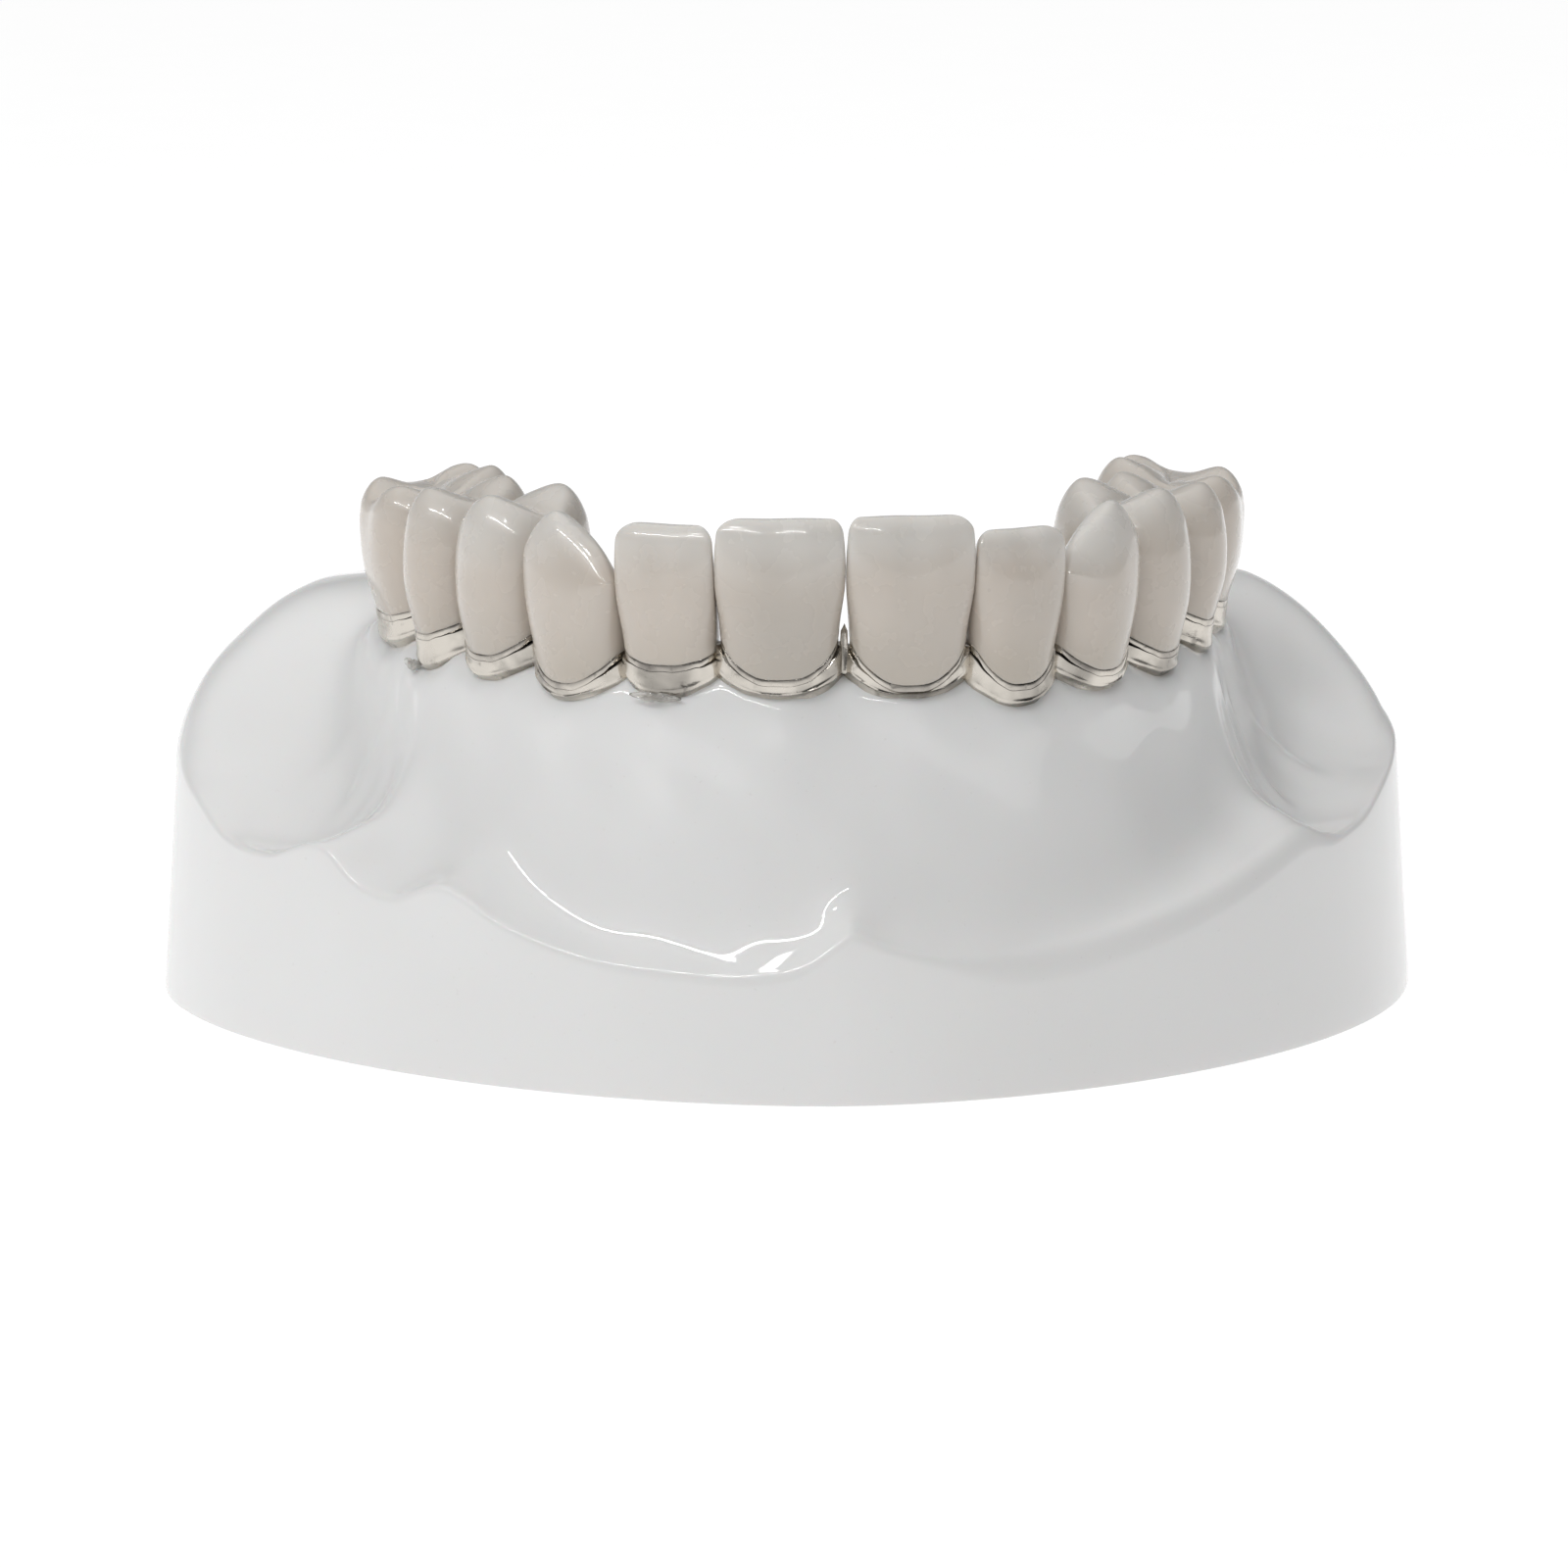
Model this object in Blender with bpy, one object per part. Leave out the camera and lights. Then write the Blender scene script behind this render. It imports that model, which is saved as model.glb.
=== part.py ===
"""Typodont model: an upper dental arch on a trimmed base, standing teeth up.

The base is one casting. Twelve metal dies (the prepared teeth) stand in sockets along its ridge.
Each die carries one crown that lifts straight off: a thin metal coping inside a porcelain body.

The tables are in millimetres. Their x runs along +X, which is the patient's right, and their y is
counted backwards from the labial face of the central incisors. The object's origin is at the middle
of the base's underside, with +Z up and the incisors facing -Y. ORIGIN_X and ORIGIN_Y say where that
is in the tables: the base is a little wider on the left, and its middle is well behind the incisors.
"""

import math

import bpy
import numpy as np

MM = 0.001

# Base: the trimmed outline, seen from above, is a rounded arc in front and a flat heel behind.
OUTLINE_CENTRE_Y = 37.0
OUTLINE_HALF_WIDTH = {"right": 42.2, "left": 43.0}
OUTLINE_FRONT_RADIUS = 41.5
OUTLINE_EXPONENT = {"right": 1.80, "left": 1.75}
OUTLINE_REAR_RADIUS = 36.0
HEEL_Y = 53.0
WALL_DRAFT = 0.065
ORIGIN_X = (OUTLINE_HALF_WIDTH["right"] - OUTLINE_HALF_WIDTH["left"]) / 2
ORIGIN_Y = (OUTLINE_CENTRE_Y - OUTLINE_FRONT_RADIUS + HEEL_Y) / 2

# Rim, the sharp edge where the wall meets the vestibule: (angle round the outline from the front,
# height). It peaks at the frena, which are the ridges at the midline and beside the premolars.
RIM_RIGHT = [(0, 10.9), (4, 9.8), (9, 8.9), (14, 8.6), (20, 8.9), (27, 9.7), (36, 11.1), (45, 12.9),
             (52, 14.2), (58, 13.3), (64, 13.6), (72, 15.2), (81, 16.6), (99, 16.4), (116, 15.6)]
RIM_LEFT = [(0, 10.9), (4, 8.8), (9, 8.0), (15, 8.1), (24, 8.7), (33, 10.4), (40, 12.4), (46, 11.3),
            (51, 12.0), (55, 13.7), (64, 12.6), (71, 12.8), (80, 14.8), (99, 15.4), (116, 15.4)]

# Stations along the arch: 0 at the midline, then one at each contact between two teeth (1 to 6),
# the tuberosity (7) and the heel (8). Each row gives the outline angle, the midline point (y, height)
# that the palate runs down to, and the two inner control points (share of the way in from the rim,
# height) of the curve from the rim up to the ridge.
STATIONS = [
    (0.0, (14.0, 21.0), (0.55, 11.8), (0.84, 14.5)),
    (12.9, (14.6, 20.2), (0.52, 10.6), (0.86, 13.0)),
    (24.0, (16.0, 18.6), (0.54, 10.8), (0.86, 13.0)),
    (37.5, (19.0, 16.4), (0.56, 12.2), (0.88, 14.0)),
    (51.0, (22.7, 14.4), (0.62, 13.6), (0.88, 15.5)),
    (64.0, (27.4, 13.2), (0.48, 11.6), (0.90, 12.8)),
    (79.0, (34.4, 12.7), (0.22, 16.4), (0.84, 16.6)),
    (91.0, (42.4, 12.9), (-0.02, 21.0), (0.50, 27.5)),
    (115.4, (HEEL_Y, 13.2), (-0.01, 20.8), (0.47, 27.2)),
]
# Frena, the folds that run down from the gum and out to the rim: (station, width in stations, how
# much nearer to the rim the curve's inner points move, how much higher they move).
FRENA = [(0.0, 0.17, 0.09, 0.8), (-3.15, 0.28, 0.03, 0.9), (-4.25, 0.28, 0.10, 2.4), (4.3, 0.30, 0.10, 2.0)]
# The ridge behind the last tooth: (station, height), and its two edges (station, x, y).
TUBEROSITY = [(7.0, 27.3), (8.0, 26.8)]
REAR_LABIAL = [(7.0, 27.8, 43.0), (8.0, 27.4, HEEL_Y)]
REAR_PALATAL = [(7.0, 19.6, 43.0), (8.0, 20.2, HEEL_Y)]
GUM_SPREAD = 0.45
GUM_WAIST = 0.6
PAPILLA_RISE = 1.0
PAPILLA_SPREAD = 0.20
TEETH_STATIONS = 6
COLUMNS_PER_STATION = 4
WALL_ROWS = 2
SLOPE_STEPS = (0.16, 0.34, 0.52, 0.70, 0.87)
PALATE_STEPS = (0.18, 0.40, 0.65)

# Teeth: the points where neighbours meet on the labial side, from the midline to the molar's back.
CONTACTS = [(0.0, 0.7), (8.25, 1.3), (14.3, 4.4), (19.8, 10.1), (24.5, 16.6), (27.2, 23.0), (29.6, 33.2)]
CONTACT_GAP = 0.16

# A crown's outline at height share h is a box with round corners: half widths, then the labial and
# the palatal side, widest at the share "belly" between them. width, labial and palatal are (h, value)
# curves. edge and round_* say how the top
# closes: the height share where it starts to turn in, and how far it turns in, sideways towards the
# midline and away from it, and front to back. cusps are (x, y, height under the top) in half widths
# and millimetres, and slope is how steeply they fall.
INCISOR_WIDTH = [(0.0, 0.99), (0.25, 1.02), (0.6, 1.02), (0.85, 0.99), (1.0, 0.95)]
MOLAR_WIDTH = [(0.0, 0.90), (0.3, 0.98), (0.6, 1.0), (0.85, 0.97), (1.0, 0.92)]
KINDS = {
    "central": {
        "bulge": 1.0, "belly": 0.36, "width": INCISOR_WIDTH, "taper": 0.34, "power": 2.5,
        "labial": [(0.0, 0.55), (0.25, 0.0), (0.6, -0.15), (1.0, 0.25)],
        "palatal": [(0.0, 6.3), (0.15, 6.9), (0.45, 4.4), (0.75, 2.7), (1.0, 2.0)],
        "edge": 0.87, "round_near": 0.16, "round_far": 0.34, "round_deep": 0.86,
        "cusps": [], "slope": 0.0, "stump_top": 0.60,
    },
    "lateral": {
        "bulge": 0.9, "belly": 0.36, "width": INCISOR_WIDTH, "taper": 0.36, "power": 2.4,
        "labial": [(0.0, 0.5), (0.25, 0.0), (0.6, -0.1), (1.0, 0.3)],
        "palatal": [(0.0, 5.8), (0.15, 6.3), (0.45, 4.1), (0.75, 2.6), (1.0, 2.0)],
        "edge": 0.86, "round_near": 0.30, "round_far": 0.42, "round_deep": 0.86,
        "cusps": [], "slope": 0.0, "stump_top": 0.60,
    },
    "canine": {
        "bulge": 1.3, "belly": 0.40, "width": INCISOR_WIDTH, "taper": 0.38, "power": 2.15,
        "labial": [(0.0, 0.6), (0.25, 0.0), (0.6, 0.0), (1.0, 0.6)],
        "palatal": [(0.0, 6.9), (0.15, 7.5), (0.45, 5.4), (0.75, 3.9), (1.0, 2.9)],
        "edge": 0.82, "round_near": 0.46, "round_far": 0.40, "round_deep": 0.80,
        "cusps": [(0.30, 1.5, 0.0)], "slope": 0.72, "stump_top": 0.56,
    },
    "premolar_1": {
        "bulge": 1.0, "belly": 0.46, "width": MOLAR_WIDTH, "taper": 0.16, "power": 2.3,
        "labial": [(0.0, 0.7), (0.3, 0.0), (0.6, 0.0), (1.0, 0.6)],
        "palatal": [(0.0, 7.9), (0.35, 9.2), (0.7, 9.1), (1.0, 8.4)],
        "edge": 0.82, "round_near": 0.30, "round_far": 0.30, "round_deep": 0.30,
        "cusps": [(0.0, 1.7, 0.35), (-0.05, 7.1, 0.0)], "slope": 0.44, "stump_top": 0.55,
    },
    "premolar_2": {
        "bulge": 0.9, "belly": 0.5, "width": MOLAR_WIDTH, "taper": 0.16, "power": 2.3,
        "labial": [(0.0, 0.7), (0.3, 0.0), (0.6, 0.0), (1.0, 0.5)],
        "palatal": [(0.0, 7.7), (0.35, 8.8), (0.7, 8.7), (1.0, 8.0)],
        "edge": 0.82, "round_near": 0.28, "round_far": 0.28, "round_deep": 0.30,
        "cusps": [(0.0, 1.7, 0.5), (0.0, 6.9, 0.0)], "slope": 0.42, "stump_top": 0.55,
    },
    "molar_1": {
        "bulge": 0.9, "belly": 0.5, "width": MOLAR_WIDTH, "taper": 0.08, "power": 2.7,
        "labial": [(0.0, 1.0), (0.3, 0.2), (0.6, 0.0), (1.0, 0.2)],
        "palatal": [(0.0, 9.2), (0.35, 10.4), (0.7, 10.2), (1.0, 9.4)],
        "edge": 0.85, "round_near": 0.22, "round_far": 0.22, "round_deep": 0.24,
        "cusps": [(-0.50, 1.7, 1.1), (0.52, 1.8, 1.1), (-0.42, 8.2, 0.0), (0.50, 7.9, 0.3)],
        "slope": 0.42, "stump_top": 0.52,
    },
}
# Heights: the top, the porcelain's edge and the gum at mid-labial, then how far that edge rises
# between the teeth, for the right and the left tooth.
HEIGHTS = {
    "central": {"right": (36.6, 25.9, 25.2, 2.8), "left": (36.5, 26.3, 25.2, 2.6)},
    "lateral": {"right": (35.5, 25.6, 24.2, 2.6), "left": (36.0, 27.1, 25.0, 0.8)},
    "canine": {"right": (36.5, 25.8, 24.6, 2.0), "left": (36.2, 25.4, 24.4, 2.2)},
    "premolar_1": {"right": (36.9, 26.0, 24.5, 1.6), "left": (36.9, 26.3, 24.8, 1.8)},
    "premolar_2": {"right": (36.6, 27.1, 25.0, 1.2), "left": (36.8, 26.8, 24.5, 1.2)},
    "molar_1": {"right": (36.9, 27.2, 25.2, 1.0), "left": (36.8, 27.0, 25.0, 1.0)},
}

# Layers between die and porcelain.
FIT_GAP = 0.08
COPING_WALL = 0.40
COLLAR_HEIGHT = 0.42
SHOULDER = 1.15
STUMP_TAPER = 0.37
NECK_IN = 0.35
NECK_RISE = 1.2
ROOT_LENGTH = 10.5
SOCKET_GAP = 0.12
SOCKET_TOP = 30.0
SIDES = 16
CROWN_SIDE_STEPS = (0.0, 0.22, 0.48, 0.70)
CROWN_CORNER_ANGLES = (0, 50, 90)
CROWN_TOP_STEPS = (0.55,)


def curve(knots, at):
    """A smooth curve through (position, value) knots."""
    x = np.array([k[0] for k in knots], float)
    y = np.array([k[1] for k in knots], float)
    slope = np.gradient(y, x)
    at = np.clip(np.asarray(at, float), x[0], x[-1])
    i = np.clip(np.searchsorted(x, at, side="right") - 1, 0, len(x) - 2)
    step = x[i + 1] - x[i]
    u = (at - x[i]) / step
    return ((1 + 2 * u) * (1 - u) ** 2 * y[i] + u * (1 - u) ** 2 * step * slope[i]
            + u * u * (3 - 2 * u) * y[i + 1] + u * u * (u - 1) * step * slope[i + 1])


def station_value(pick, at):
    """A value of STATIONS, mirrored about the midline, at any place along the arch."""
    count = len(STATIONS)
    knots = [(i, pick(STATIONS[abs(i)], 1 if i >= 0 else -1)) for i in range(1 - count, count)]
    return float(curve(knots, at))


def outline_point(angle, height=0.0):
    """The trimmed outline at an angle from the front, drawn in a little with height."""
    sine, cosine = math.sin(math.radians(angle)), math.cos(math.radians(angle))
    deep = OUTLINE_FRONT_RADIUS if cosine >= 0 else OUTLINE_REAR_RADIUS
    side = "left" if sine < 0 else "right"
    power = OUTLINE_EXPONENT[side] if cosine >= 0 else 2.0
    wide = OUTLINE_HALF_WIDTH[side]
    reach = ((abs(sine) / wide) ** power + (abs(cosine) / deep) ** power) ** (-1 / power)
    x, back = reach * sine, -reach * cosine
    if back > HEEL_Y - OUTLINE_CENTRE_Y:
        back = HEEL_Y - OUTLINE_CENTRE_Y
    draft = 1 - WALL_DRAFT * height / wide
    return np.array([x * draft, OUTLINE_CENTRE_Y + back * (draft if back < 0 else 1), height])


def ridge_height(at):
    """The top of the ridge along the arch: the gum of each tooth, raised between neighbours."""
    knots = [(-where, height) for where, height in reversed(TUBEROSITY)]
    knots += [(-number - 0.5, HEIGHTS[kind]["left"][2]) for number, kind in reversed(list(enumerate(KINDS)))]
    knots += [(number + 0.5, HEIGHTS[kind]["right"][2]) for number, kind in enumerate(KINDS)]
    knots += TUBEROSITY
    near = abs(at - round(at))
    fade = max(0.0, min(1.0, TEETH_STATIONS + 0.5 - abs(at)))
    return float(curve(knots, at)) + PAPILLA_RISE * math.exp(-((near / PAPILLA_SPREAD) ** 2)) * fade


def ridge_edges(at):
    """The ridge's labial edge, that edge without its waists between the teeth, and its palatal edge."""
    labial, palatal = [], []
    for number, kind in enumerate(KINDS):
        tooth = Tooth(kind, "right")
        front, back = tooth.labial(0) + NECK_IN - GUM_SPREAD, tooth.palatal(0) - NECK_IN + GUM_SPREAD
        labial.append((number + 0.5, *tooth.spot(0, front)))
        palatal.append((number + 0.5, *tooth.spot(0, back)))
        waist = tooth.spot(tooth.half_width + CONTACT_GAP / 2, tooth.form["bulge"] + GUM_WAIST)
        labial.append((number + 1.0, *waist))
    smooth = labial[0:-1:2] + REAR_LABIAL
    first = Tooth("central", "right")
    labial.insert(0, (0.0, 0.0, first.face[1] + first.form["bulge"] + GUM_WAIST))
    labial, palatal = labial + REAR_LABIAL, palatal + REAR_PALATAL
    height = ridge_height(at)
    edges = []
    for knots in (labial, smooth, palatal):
        mirrored = [(-k, -x, y) for k, x, y in reversed(knots) if k > 0] + knots
        edges.append(np.array([float(curve([(k, x) for k, x, _ in mirrored], at)),
                               float(curve([(k, y) for k, _, y in mirrored], at)), height]))
    return edges


def bezier(points, u):
    a, b, c, d = points
    return (1 - u) ** 3 * a + 3 * u * (1 - u) ** 2 * b + 3 * u * u * (1 - u) * c + u ** 3 * d


def base_column(at):
    """The section of the base at one place along the arch: from the wall's foot to the midline."""
    side = -1 if at < 0 else 1
    angle = station_value(lambda s, sign: sign * s[0], at)
    rim_height = float(curve(RIM_LEFT if at < 0 else RIM_RIGHT, abs(angle)))
    rim = outline_point(angle, rim_height)
    labial, smooth, palatal = ridge_edges(at)
    midline = np.array([0.0, station_value(lambda s, sign: s[1][0], at),
                        station_value(lambda s, sign: s[1][1], at)])
    ridge = palatal[2]
    column = [outline_point(angle, rim_height * k / WALL_ROWS) for k in range(WALL_ROWS + 1)]
    controls = [rim]
    folds = [(math.exp(-(((at - where) / width) ** 2)), out, up) for where, width, out, up in FRENA]
    for k in (2, 3):
        share = station_value(lambda s, sign: s[k][0], at) - sum(near * out for near, out, _ in folds)
        height = station_value(lambda s, sign: s[k][1], at) + sum(near * up for near, _, up in folds)
        inward = rim + (smooth - rim) * share
        controls.append(np.array([inward[0], inward[1], max(height, rim_height - 0.6)]))
    controls.append(labial)
    column += [bezier(controls, u) for u in SLOPE_STEPS]
    column += [labial, labial + (palatal - labial) * 0.5, palatal]
    foot = palatal + (midline - palatal) * 0.35
    slope = [palatal, np.array([foot[0], foot[1], midline[2] + 0.45 * (ridge - midline[2])]),
             midline + (palatal - midline) * 0.45 * [1, 1, 0], midline]
    column += [bezier(slope, u) for u in PALATE_STEPS]
    if side < 0 or at == 0:
        column += [midline]
    return column, midline


def make_object(name, points, faces, material):
    """An object from millimetre points, moved to the object's own origin."""
    mesh = bpy.data.meshes.new(name)
    mesh.from_pydata([((x - ORIGIN_X) * MM, (y - ORIGIN_Y) * MM, z * MM) for x, y, z in points], [], faces)
    mesh.validate()
    mesh.update()
    mesh.shade_smooth()
    mesh.set_sharp_from_angle(angle=math.radians(40))
    thing = bpy.data.objects.new(name, mesh)
    thing.data.materials.append(material)
    bpy.context.scene.collection.objects.link(thing)
    return thing


def base_places():
    """Places along the arch, from the left heel round the front to the right heel."""
    last = (len(STATIONS) - 1) * COLUMNS_PER_STATION
    return [k / COLUMNS_PER_STATION for k in range(-last, last + 1)]


def make_base(material):
    """A grid round the arch, whose two sides share the points of the midline, on a flat underside."""
    places = base_places()
    middle = len(places) // 2
    points, columns = [], []
    for at in places:
        column, _ = base_column(at)
        start = len(points)
        points += column
        columns.append(list(range(start, start + len(column))))
    for k in range(middle + 1, len(places)):
        columns[k].append(columns[2 * middle - k][-1])
    faces = []
    for left, right in zip(columns, columns[1:]):
        for row in range(len(left) - 1):
            faces.append([left[row], right[row], right[row + 1]])
            faces.append([right[row + 1], left[row + 1], left[row]])
    faces = [face for face in faces if len(set(face)) == 3]
    faces.append([column[0] for column in reversed(columns)])
    faces.append(columns[0] + columns[-1][-2::-1])
    return make_object("model_base", points, faces, material)


class Tooth:
    """One tooth's shapes, in its own axes: x away from the midline, y towards the palate."""

    def __init__(self, kind, side):
        self.kind, self.side = kind, side
        self.sign = 1 if side == "right" else -1
        self.number = list(KINDS).index(kind)
        self.form = KINDS[kind]
        near, far = np.array(CONTACTS[self.number]), np.array(CONTACTS[self.number + 1])
        self.along = (far - near) / np.linalg.norm(far - near)
        self.inward = np.array([-self.along[1], self.along[0]])
        self.face = (near + far) / 2 - self.inward * self.form["bulge"]
        self.half_width = (np.linalg.norm(far - near) - CONTACT_GAP) / 2
        self.top, self.margin, self.gum, self.rise = HEIGHTS[kind][side]
        self.turn = np.linspace(0, 2 * math.pi, SIDES, endpoint=False)

    def share(self, height):
        return (height - self.margin) / (self.top - self.margin)

    def labial(self, h):
        return float(curve(self.form["labial"], h))

    def palatal(self, h):
        return float(curve(self.form["palatal"], h))

    def section(self, half_width, front, back, wide=(1.0, 1.0), power=None):
        """A ring of (x, y): a rounded box from front to back, narrower towards the palate."""
        power = power or self.form["power"]
        cosine, sine = np.cos(self.turn), np.sin(self.turn)
        x = np.sign(cosine) * np.abs(cosine) ** (2 / power) * half_width
        x = x * np.where(cosine > 0, wide[1], wide[0])
        middle = front + (back - front) * self.form["belly"]
        reach = np.where(sine < 0, middle - front, back - middle)
        y = middle + np.sign(sine) * np.abs(sine) ** (2 / power) * reach
        return x * (1 - self.form["taper"] * np.clip((y - self.form["bulge"]) / 6.0, 0.0, 1.3)), y

    def margin_rise(self):
        """How far a finish line stands above its mid-labial height, around the tooth."""
        return self.rise * np.cos(self.turn) ** 2

    def spot(self, x, y):
        return self.face + np.multiply.outer(x, self.along) + np.multiply.outer(y, self.inward)

    def world(self, ring):
        x, y, z = ring
        spot = self.spot(x, y)
        return np.column_stack([spot[:, 0] * self.sign, spot[:, 1], z])

    def relief(self, x, y, h):
        """How far the crown's top lies under its highest point, from its cusps."""
        cusps = self.form["cusps"]
        if not cusps:
            return np.zeros(SIDES)
        sharp, blunt = 4.0, 0.7
        away = [np.hypot(x - cx * self.half_width, y - cy) for cx, cy, _ in cusps]
        rise = [-cusp[2] - self.form["slope"] * (np.hypot(far, blunt) - blunt) for far, cusp in zip(away, cusps)]
        highest = np.log(sum(np.exp(sharp * r) for r in rise)) / sharp
        blend = np.clip((h - 0.45) / 0.5, 0, 1)
        return -highest * blend * blend * (3 - 2 * blend)

    def crown_ring(self, h, wide=(1.0, 1.0), deep=1.0):
        front, back = self.labial(h), self.palatal(h)
        middle, half = (front + back) / 2, (back - front) / 2 * deep
        width = float(curve(self.form["width"], h)) * self.half_width
        x, y = self.section(width, middle - half, middle + half, wide)
        z = self.margin + self.margin_rise() * (1 - h) + h * (self.top - self.margin)
        return x, y, z - self.relief(x, y, h)

    def crown_outside(self):
        """Rings from the porcelain's edge up its sides, round the corner and across its top."""
        form = self.form
        edge = form["edge"]
        rings = [self.crown_ring(h) for h in CROWN_SIDE_STEPS]
        for angle in CROWN_CORNER_ANGLES:
            turned = 1 - math.cos(math.radians(angle))
            h = edge + (1 - edge) * math.sin(math.radians(angle))
            wide = (1 - form["round_near"] * turned, 1 - form["round_far"] * turned)
            rings.append(self.crown_ring(h, wide, 1 - form["round_deep"] * turned))
        for step in CROWN_TOP_STEPS:
            wide = ((1 - form["round_near"]) * step, (1 - form["round_far"]) * step)
            rings.append(self.crown_ring(1.0, wide, (1 - form["round_deep"]) * step))
        return rings

    def stump_ring(self, share, grown, height=None):
        """The prepared stump at a share of its height, or that outline grown sideways."""
        h = share * self.form["stump_top"]
        shrink = 1 - STUMP_TAPER * share
        cervical = float(curve(self.form["width"], 0)) * self.half_width
        front = self.labial(0) + SHOULDER + 0.25 * share
        back = min(self.palatal(0), self.palatal(h)) - SHOULDER * 0.9 - 0.25 * share
        x, y = self.section((cervical - SHOULDER) * shrink + grown, front - grown, back + grown)
        low = self.margin + self.margin_rise() * (1 - share)
        level = low + h * (self.top - self.margin)
        return x, y, level if height is None else np.full(SIDES, height)

    def stump_rings(self, grown, lift):
        """The stump's outline, grown sideways, from its foot to the rounded top."""
        rings = [self.stump_ring(0.0, grown), self.stump_ring(0.55, grown), self.stump_ring(0.93, grown)]
        x, y, z = self.stump_ring(1.0, grown)
        rings.append((x * 0.86, y.mean() + (y - y.mean()) * 0.7, z + 0.15 + lift))
        return rings

    def neck_ring(self, share):
        """The die between the gum (share 0) and its shoulder (share 1)."""
        width = float(curve(self.form["width"], 0)) * self.half_width
        wing = 1 + 0.05 * math.sin(math.pi * share) * np.abs(np.cos(self.turn)) ** 6
        inset = NECK_IN * (1 - share)
        x, y = self.section(width - inset, self.labial(0) + inset, self.palatal(0) - inset)
        low = self.gum + 0.1 + NECK_RISE * np.abs(np.cos(self.turn)) ** 4
        high = self.margin - COLLAR_HEIGHT - FIT_GAP + self.margin_rise()
        return x * wing, y, low + (high - low) * share

    def root_ring(self, depth, scale, gap=0.0):
        """The die below the gum, drawn in about its own middle."""
        width = (float(curve(self.form["width"], 0)) * self.half_width - NECK_IN) * scale
        front, back = self.labial(0) + NECK_IN, self.palatal(0) - NECK_IN
        middle, half = (front + back) / 2, (back - front) / 2 * scale
        x, y = self.section(width + gap, middle - half - gap, middle + half + gap)
        return x, y, np.full(SIDES, self.gum - depth)


def loft(rings, flip):
    """One closed surface through the rings, with a point in the middle of each end."""
    points, faces = [], []
    count = len(rings[0])
    for ring in rings:
        points += list(ring)
    rank = [ring[:, 2].mean() - 0.01 * np.ptp(ring[:, 0]) for ring in rings]
    for k in range(len(rings) - 1):
        upwards = rank[k] < rank[k + 1]
        for j in range(count):
            quad = [k * count + j, k * count + (j + 1) % count]
            quad += [quad[1] + count, quad[0] + count]
            turned = quad if upwards else quad[1:] + quad[:1]
            faces += [turned[:3], [turned[2], turned[3], turned[0]]]
    start, end = len(points), len(points) + 1
    points += [np.mean(rings[0], axis=0), np.mean(rings[-1], axis=0)]
    last = (len(rings) - 1) * count
    for j in range(count):
        faces.append([start, (j + 1) % count, j])
        faces.append([end, last + j, last + (j + 1) % count])
    return points, [face[::-1] for face in faces] if flip else faces


def lofted_object(name, tooth, rings, material):
    points, faces = loft([tooth.world(ring) for ring in rings], tooth.sign < 0)
    return make_object(name, points, faces, material)


def make_porcelain(tooth, material):
    """The tooth-coloured body: outside a tooth, inside the coping's own outline."""
    grown = FIT_GAP + COPING_WALL + FIT_GAP
    inside = tooth.stump_rings(grown, lift=grown)[::-1]
    rings = inside + tooth.crown_outside()
    return lofted_object(f"porcelain_{tooth.kind}_{tooth.side}", tooth, rings, material)


def make_coping(tooth, material):
    """The metal cap over the die, with a collar that shows under the porcelain."""
    inside = tooth.stump_rings(FIT_GAP, lift=FIT_GAP)[::-1]
    x, y, z = inside[-1]
    inside[-1] = (x, y, z - COLLAR_HEIGHT)
    collar_x, collar_y, collar_z = tooth.crown_ring(0.0)
    under_porcelain = collar_z - FIT_GAP
    outside = tooth.stump_rings(FIT_GAP + COPING_WALL, lift=FIT_GAP + COPING_WALL)
    step_x, step_y, _ = outside[0]
    rings = inside + [(collar_x, collar_y, collar_z - COLLAR_HEIGHT), (collar_x, collar_y, under_porcelain),
                      (step_x, step_y, under_porcelain)] + outside[1:]
    return lofted_object(f"coping_{tooth.kind}_{tooth.side}", tooth, rings, material)


def make_die(tooth, material):
    """The metal tooth: a tapered root in the base, a flared neck, a shoulder and a stump."""
    stump = tooth.stump_rings(0.0, lift=0.0)
    foot_x, foot_y, foot_z = stump[0]
    shoulder = (foot_x, foot_y, foot_z - COLLAR_HEIGHT - FIT_GAP)
    rings = [tooth.root_ring(ROOT_LENGTH, 0.30), tooth.root_ring(ROOT_LENGTH * 0.93, 0.42),
             tooth.root_ring(0.9, 0.80), tooth.neck_ring(0.0), tooth.neck_ring(0.5), tooth.neck_ring(1.0),
             shoulder] + stump[1:]
    return lofted_object(f"die_{tooth.kind}_{tooth.side}", tooth, rings, material)


def make_socket_cutter(tooth):
    """The hole for one die's root, opening upwards through the gum."""
    gap = SOCKET_GAP
    neck_x, neck_y, _ = tooth.root_ring(0.0, 1.0, gap)
    rings = [tooth.root_ring(ROOT_LENGTH + gap, 0.30, gap), tooth.root_ring(ROOT_LENGTH * 0.93, 0.42, gap),
             tooth.root_ring(0.9, 0.80, gap), (neck_x, neck_y, tooth.neck_ring(0.0)[2]),
             (neck_x, neck_y, np.full(SIDES, SOCKET_TOP))]
    cutter = lofted_object(f"socket_{tooth.kind}_{tooth.side}", tooth, rings, bpy.data.materials[0])
    cutter.hide_render = True
    cutter.display_type = "WIRE"
    return cutter


def make_material(name, colour, roughness, metallic):
    material = bpy.data.materials.new(name)
    material.use_nodes = True
    shader = material.node_tree.nodes["Principled BSDF"]
    shader.inputs["Base Color"].default_value = (*colour, 1.0)
    shader.inputs["Roughness"].default_value = roughness
    shader.inputs["Metallic"].default_value = metallic
    return material


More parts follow.
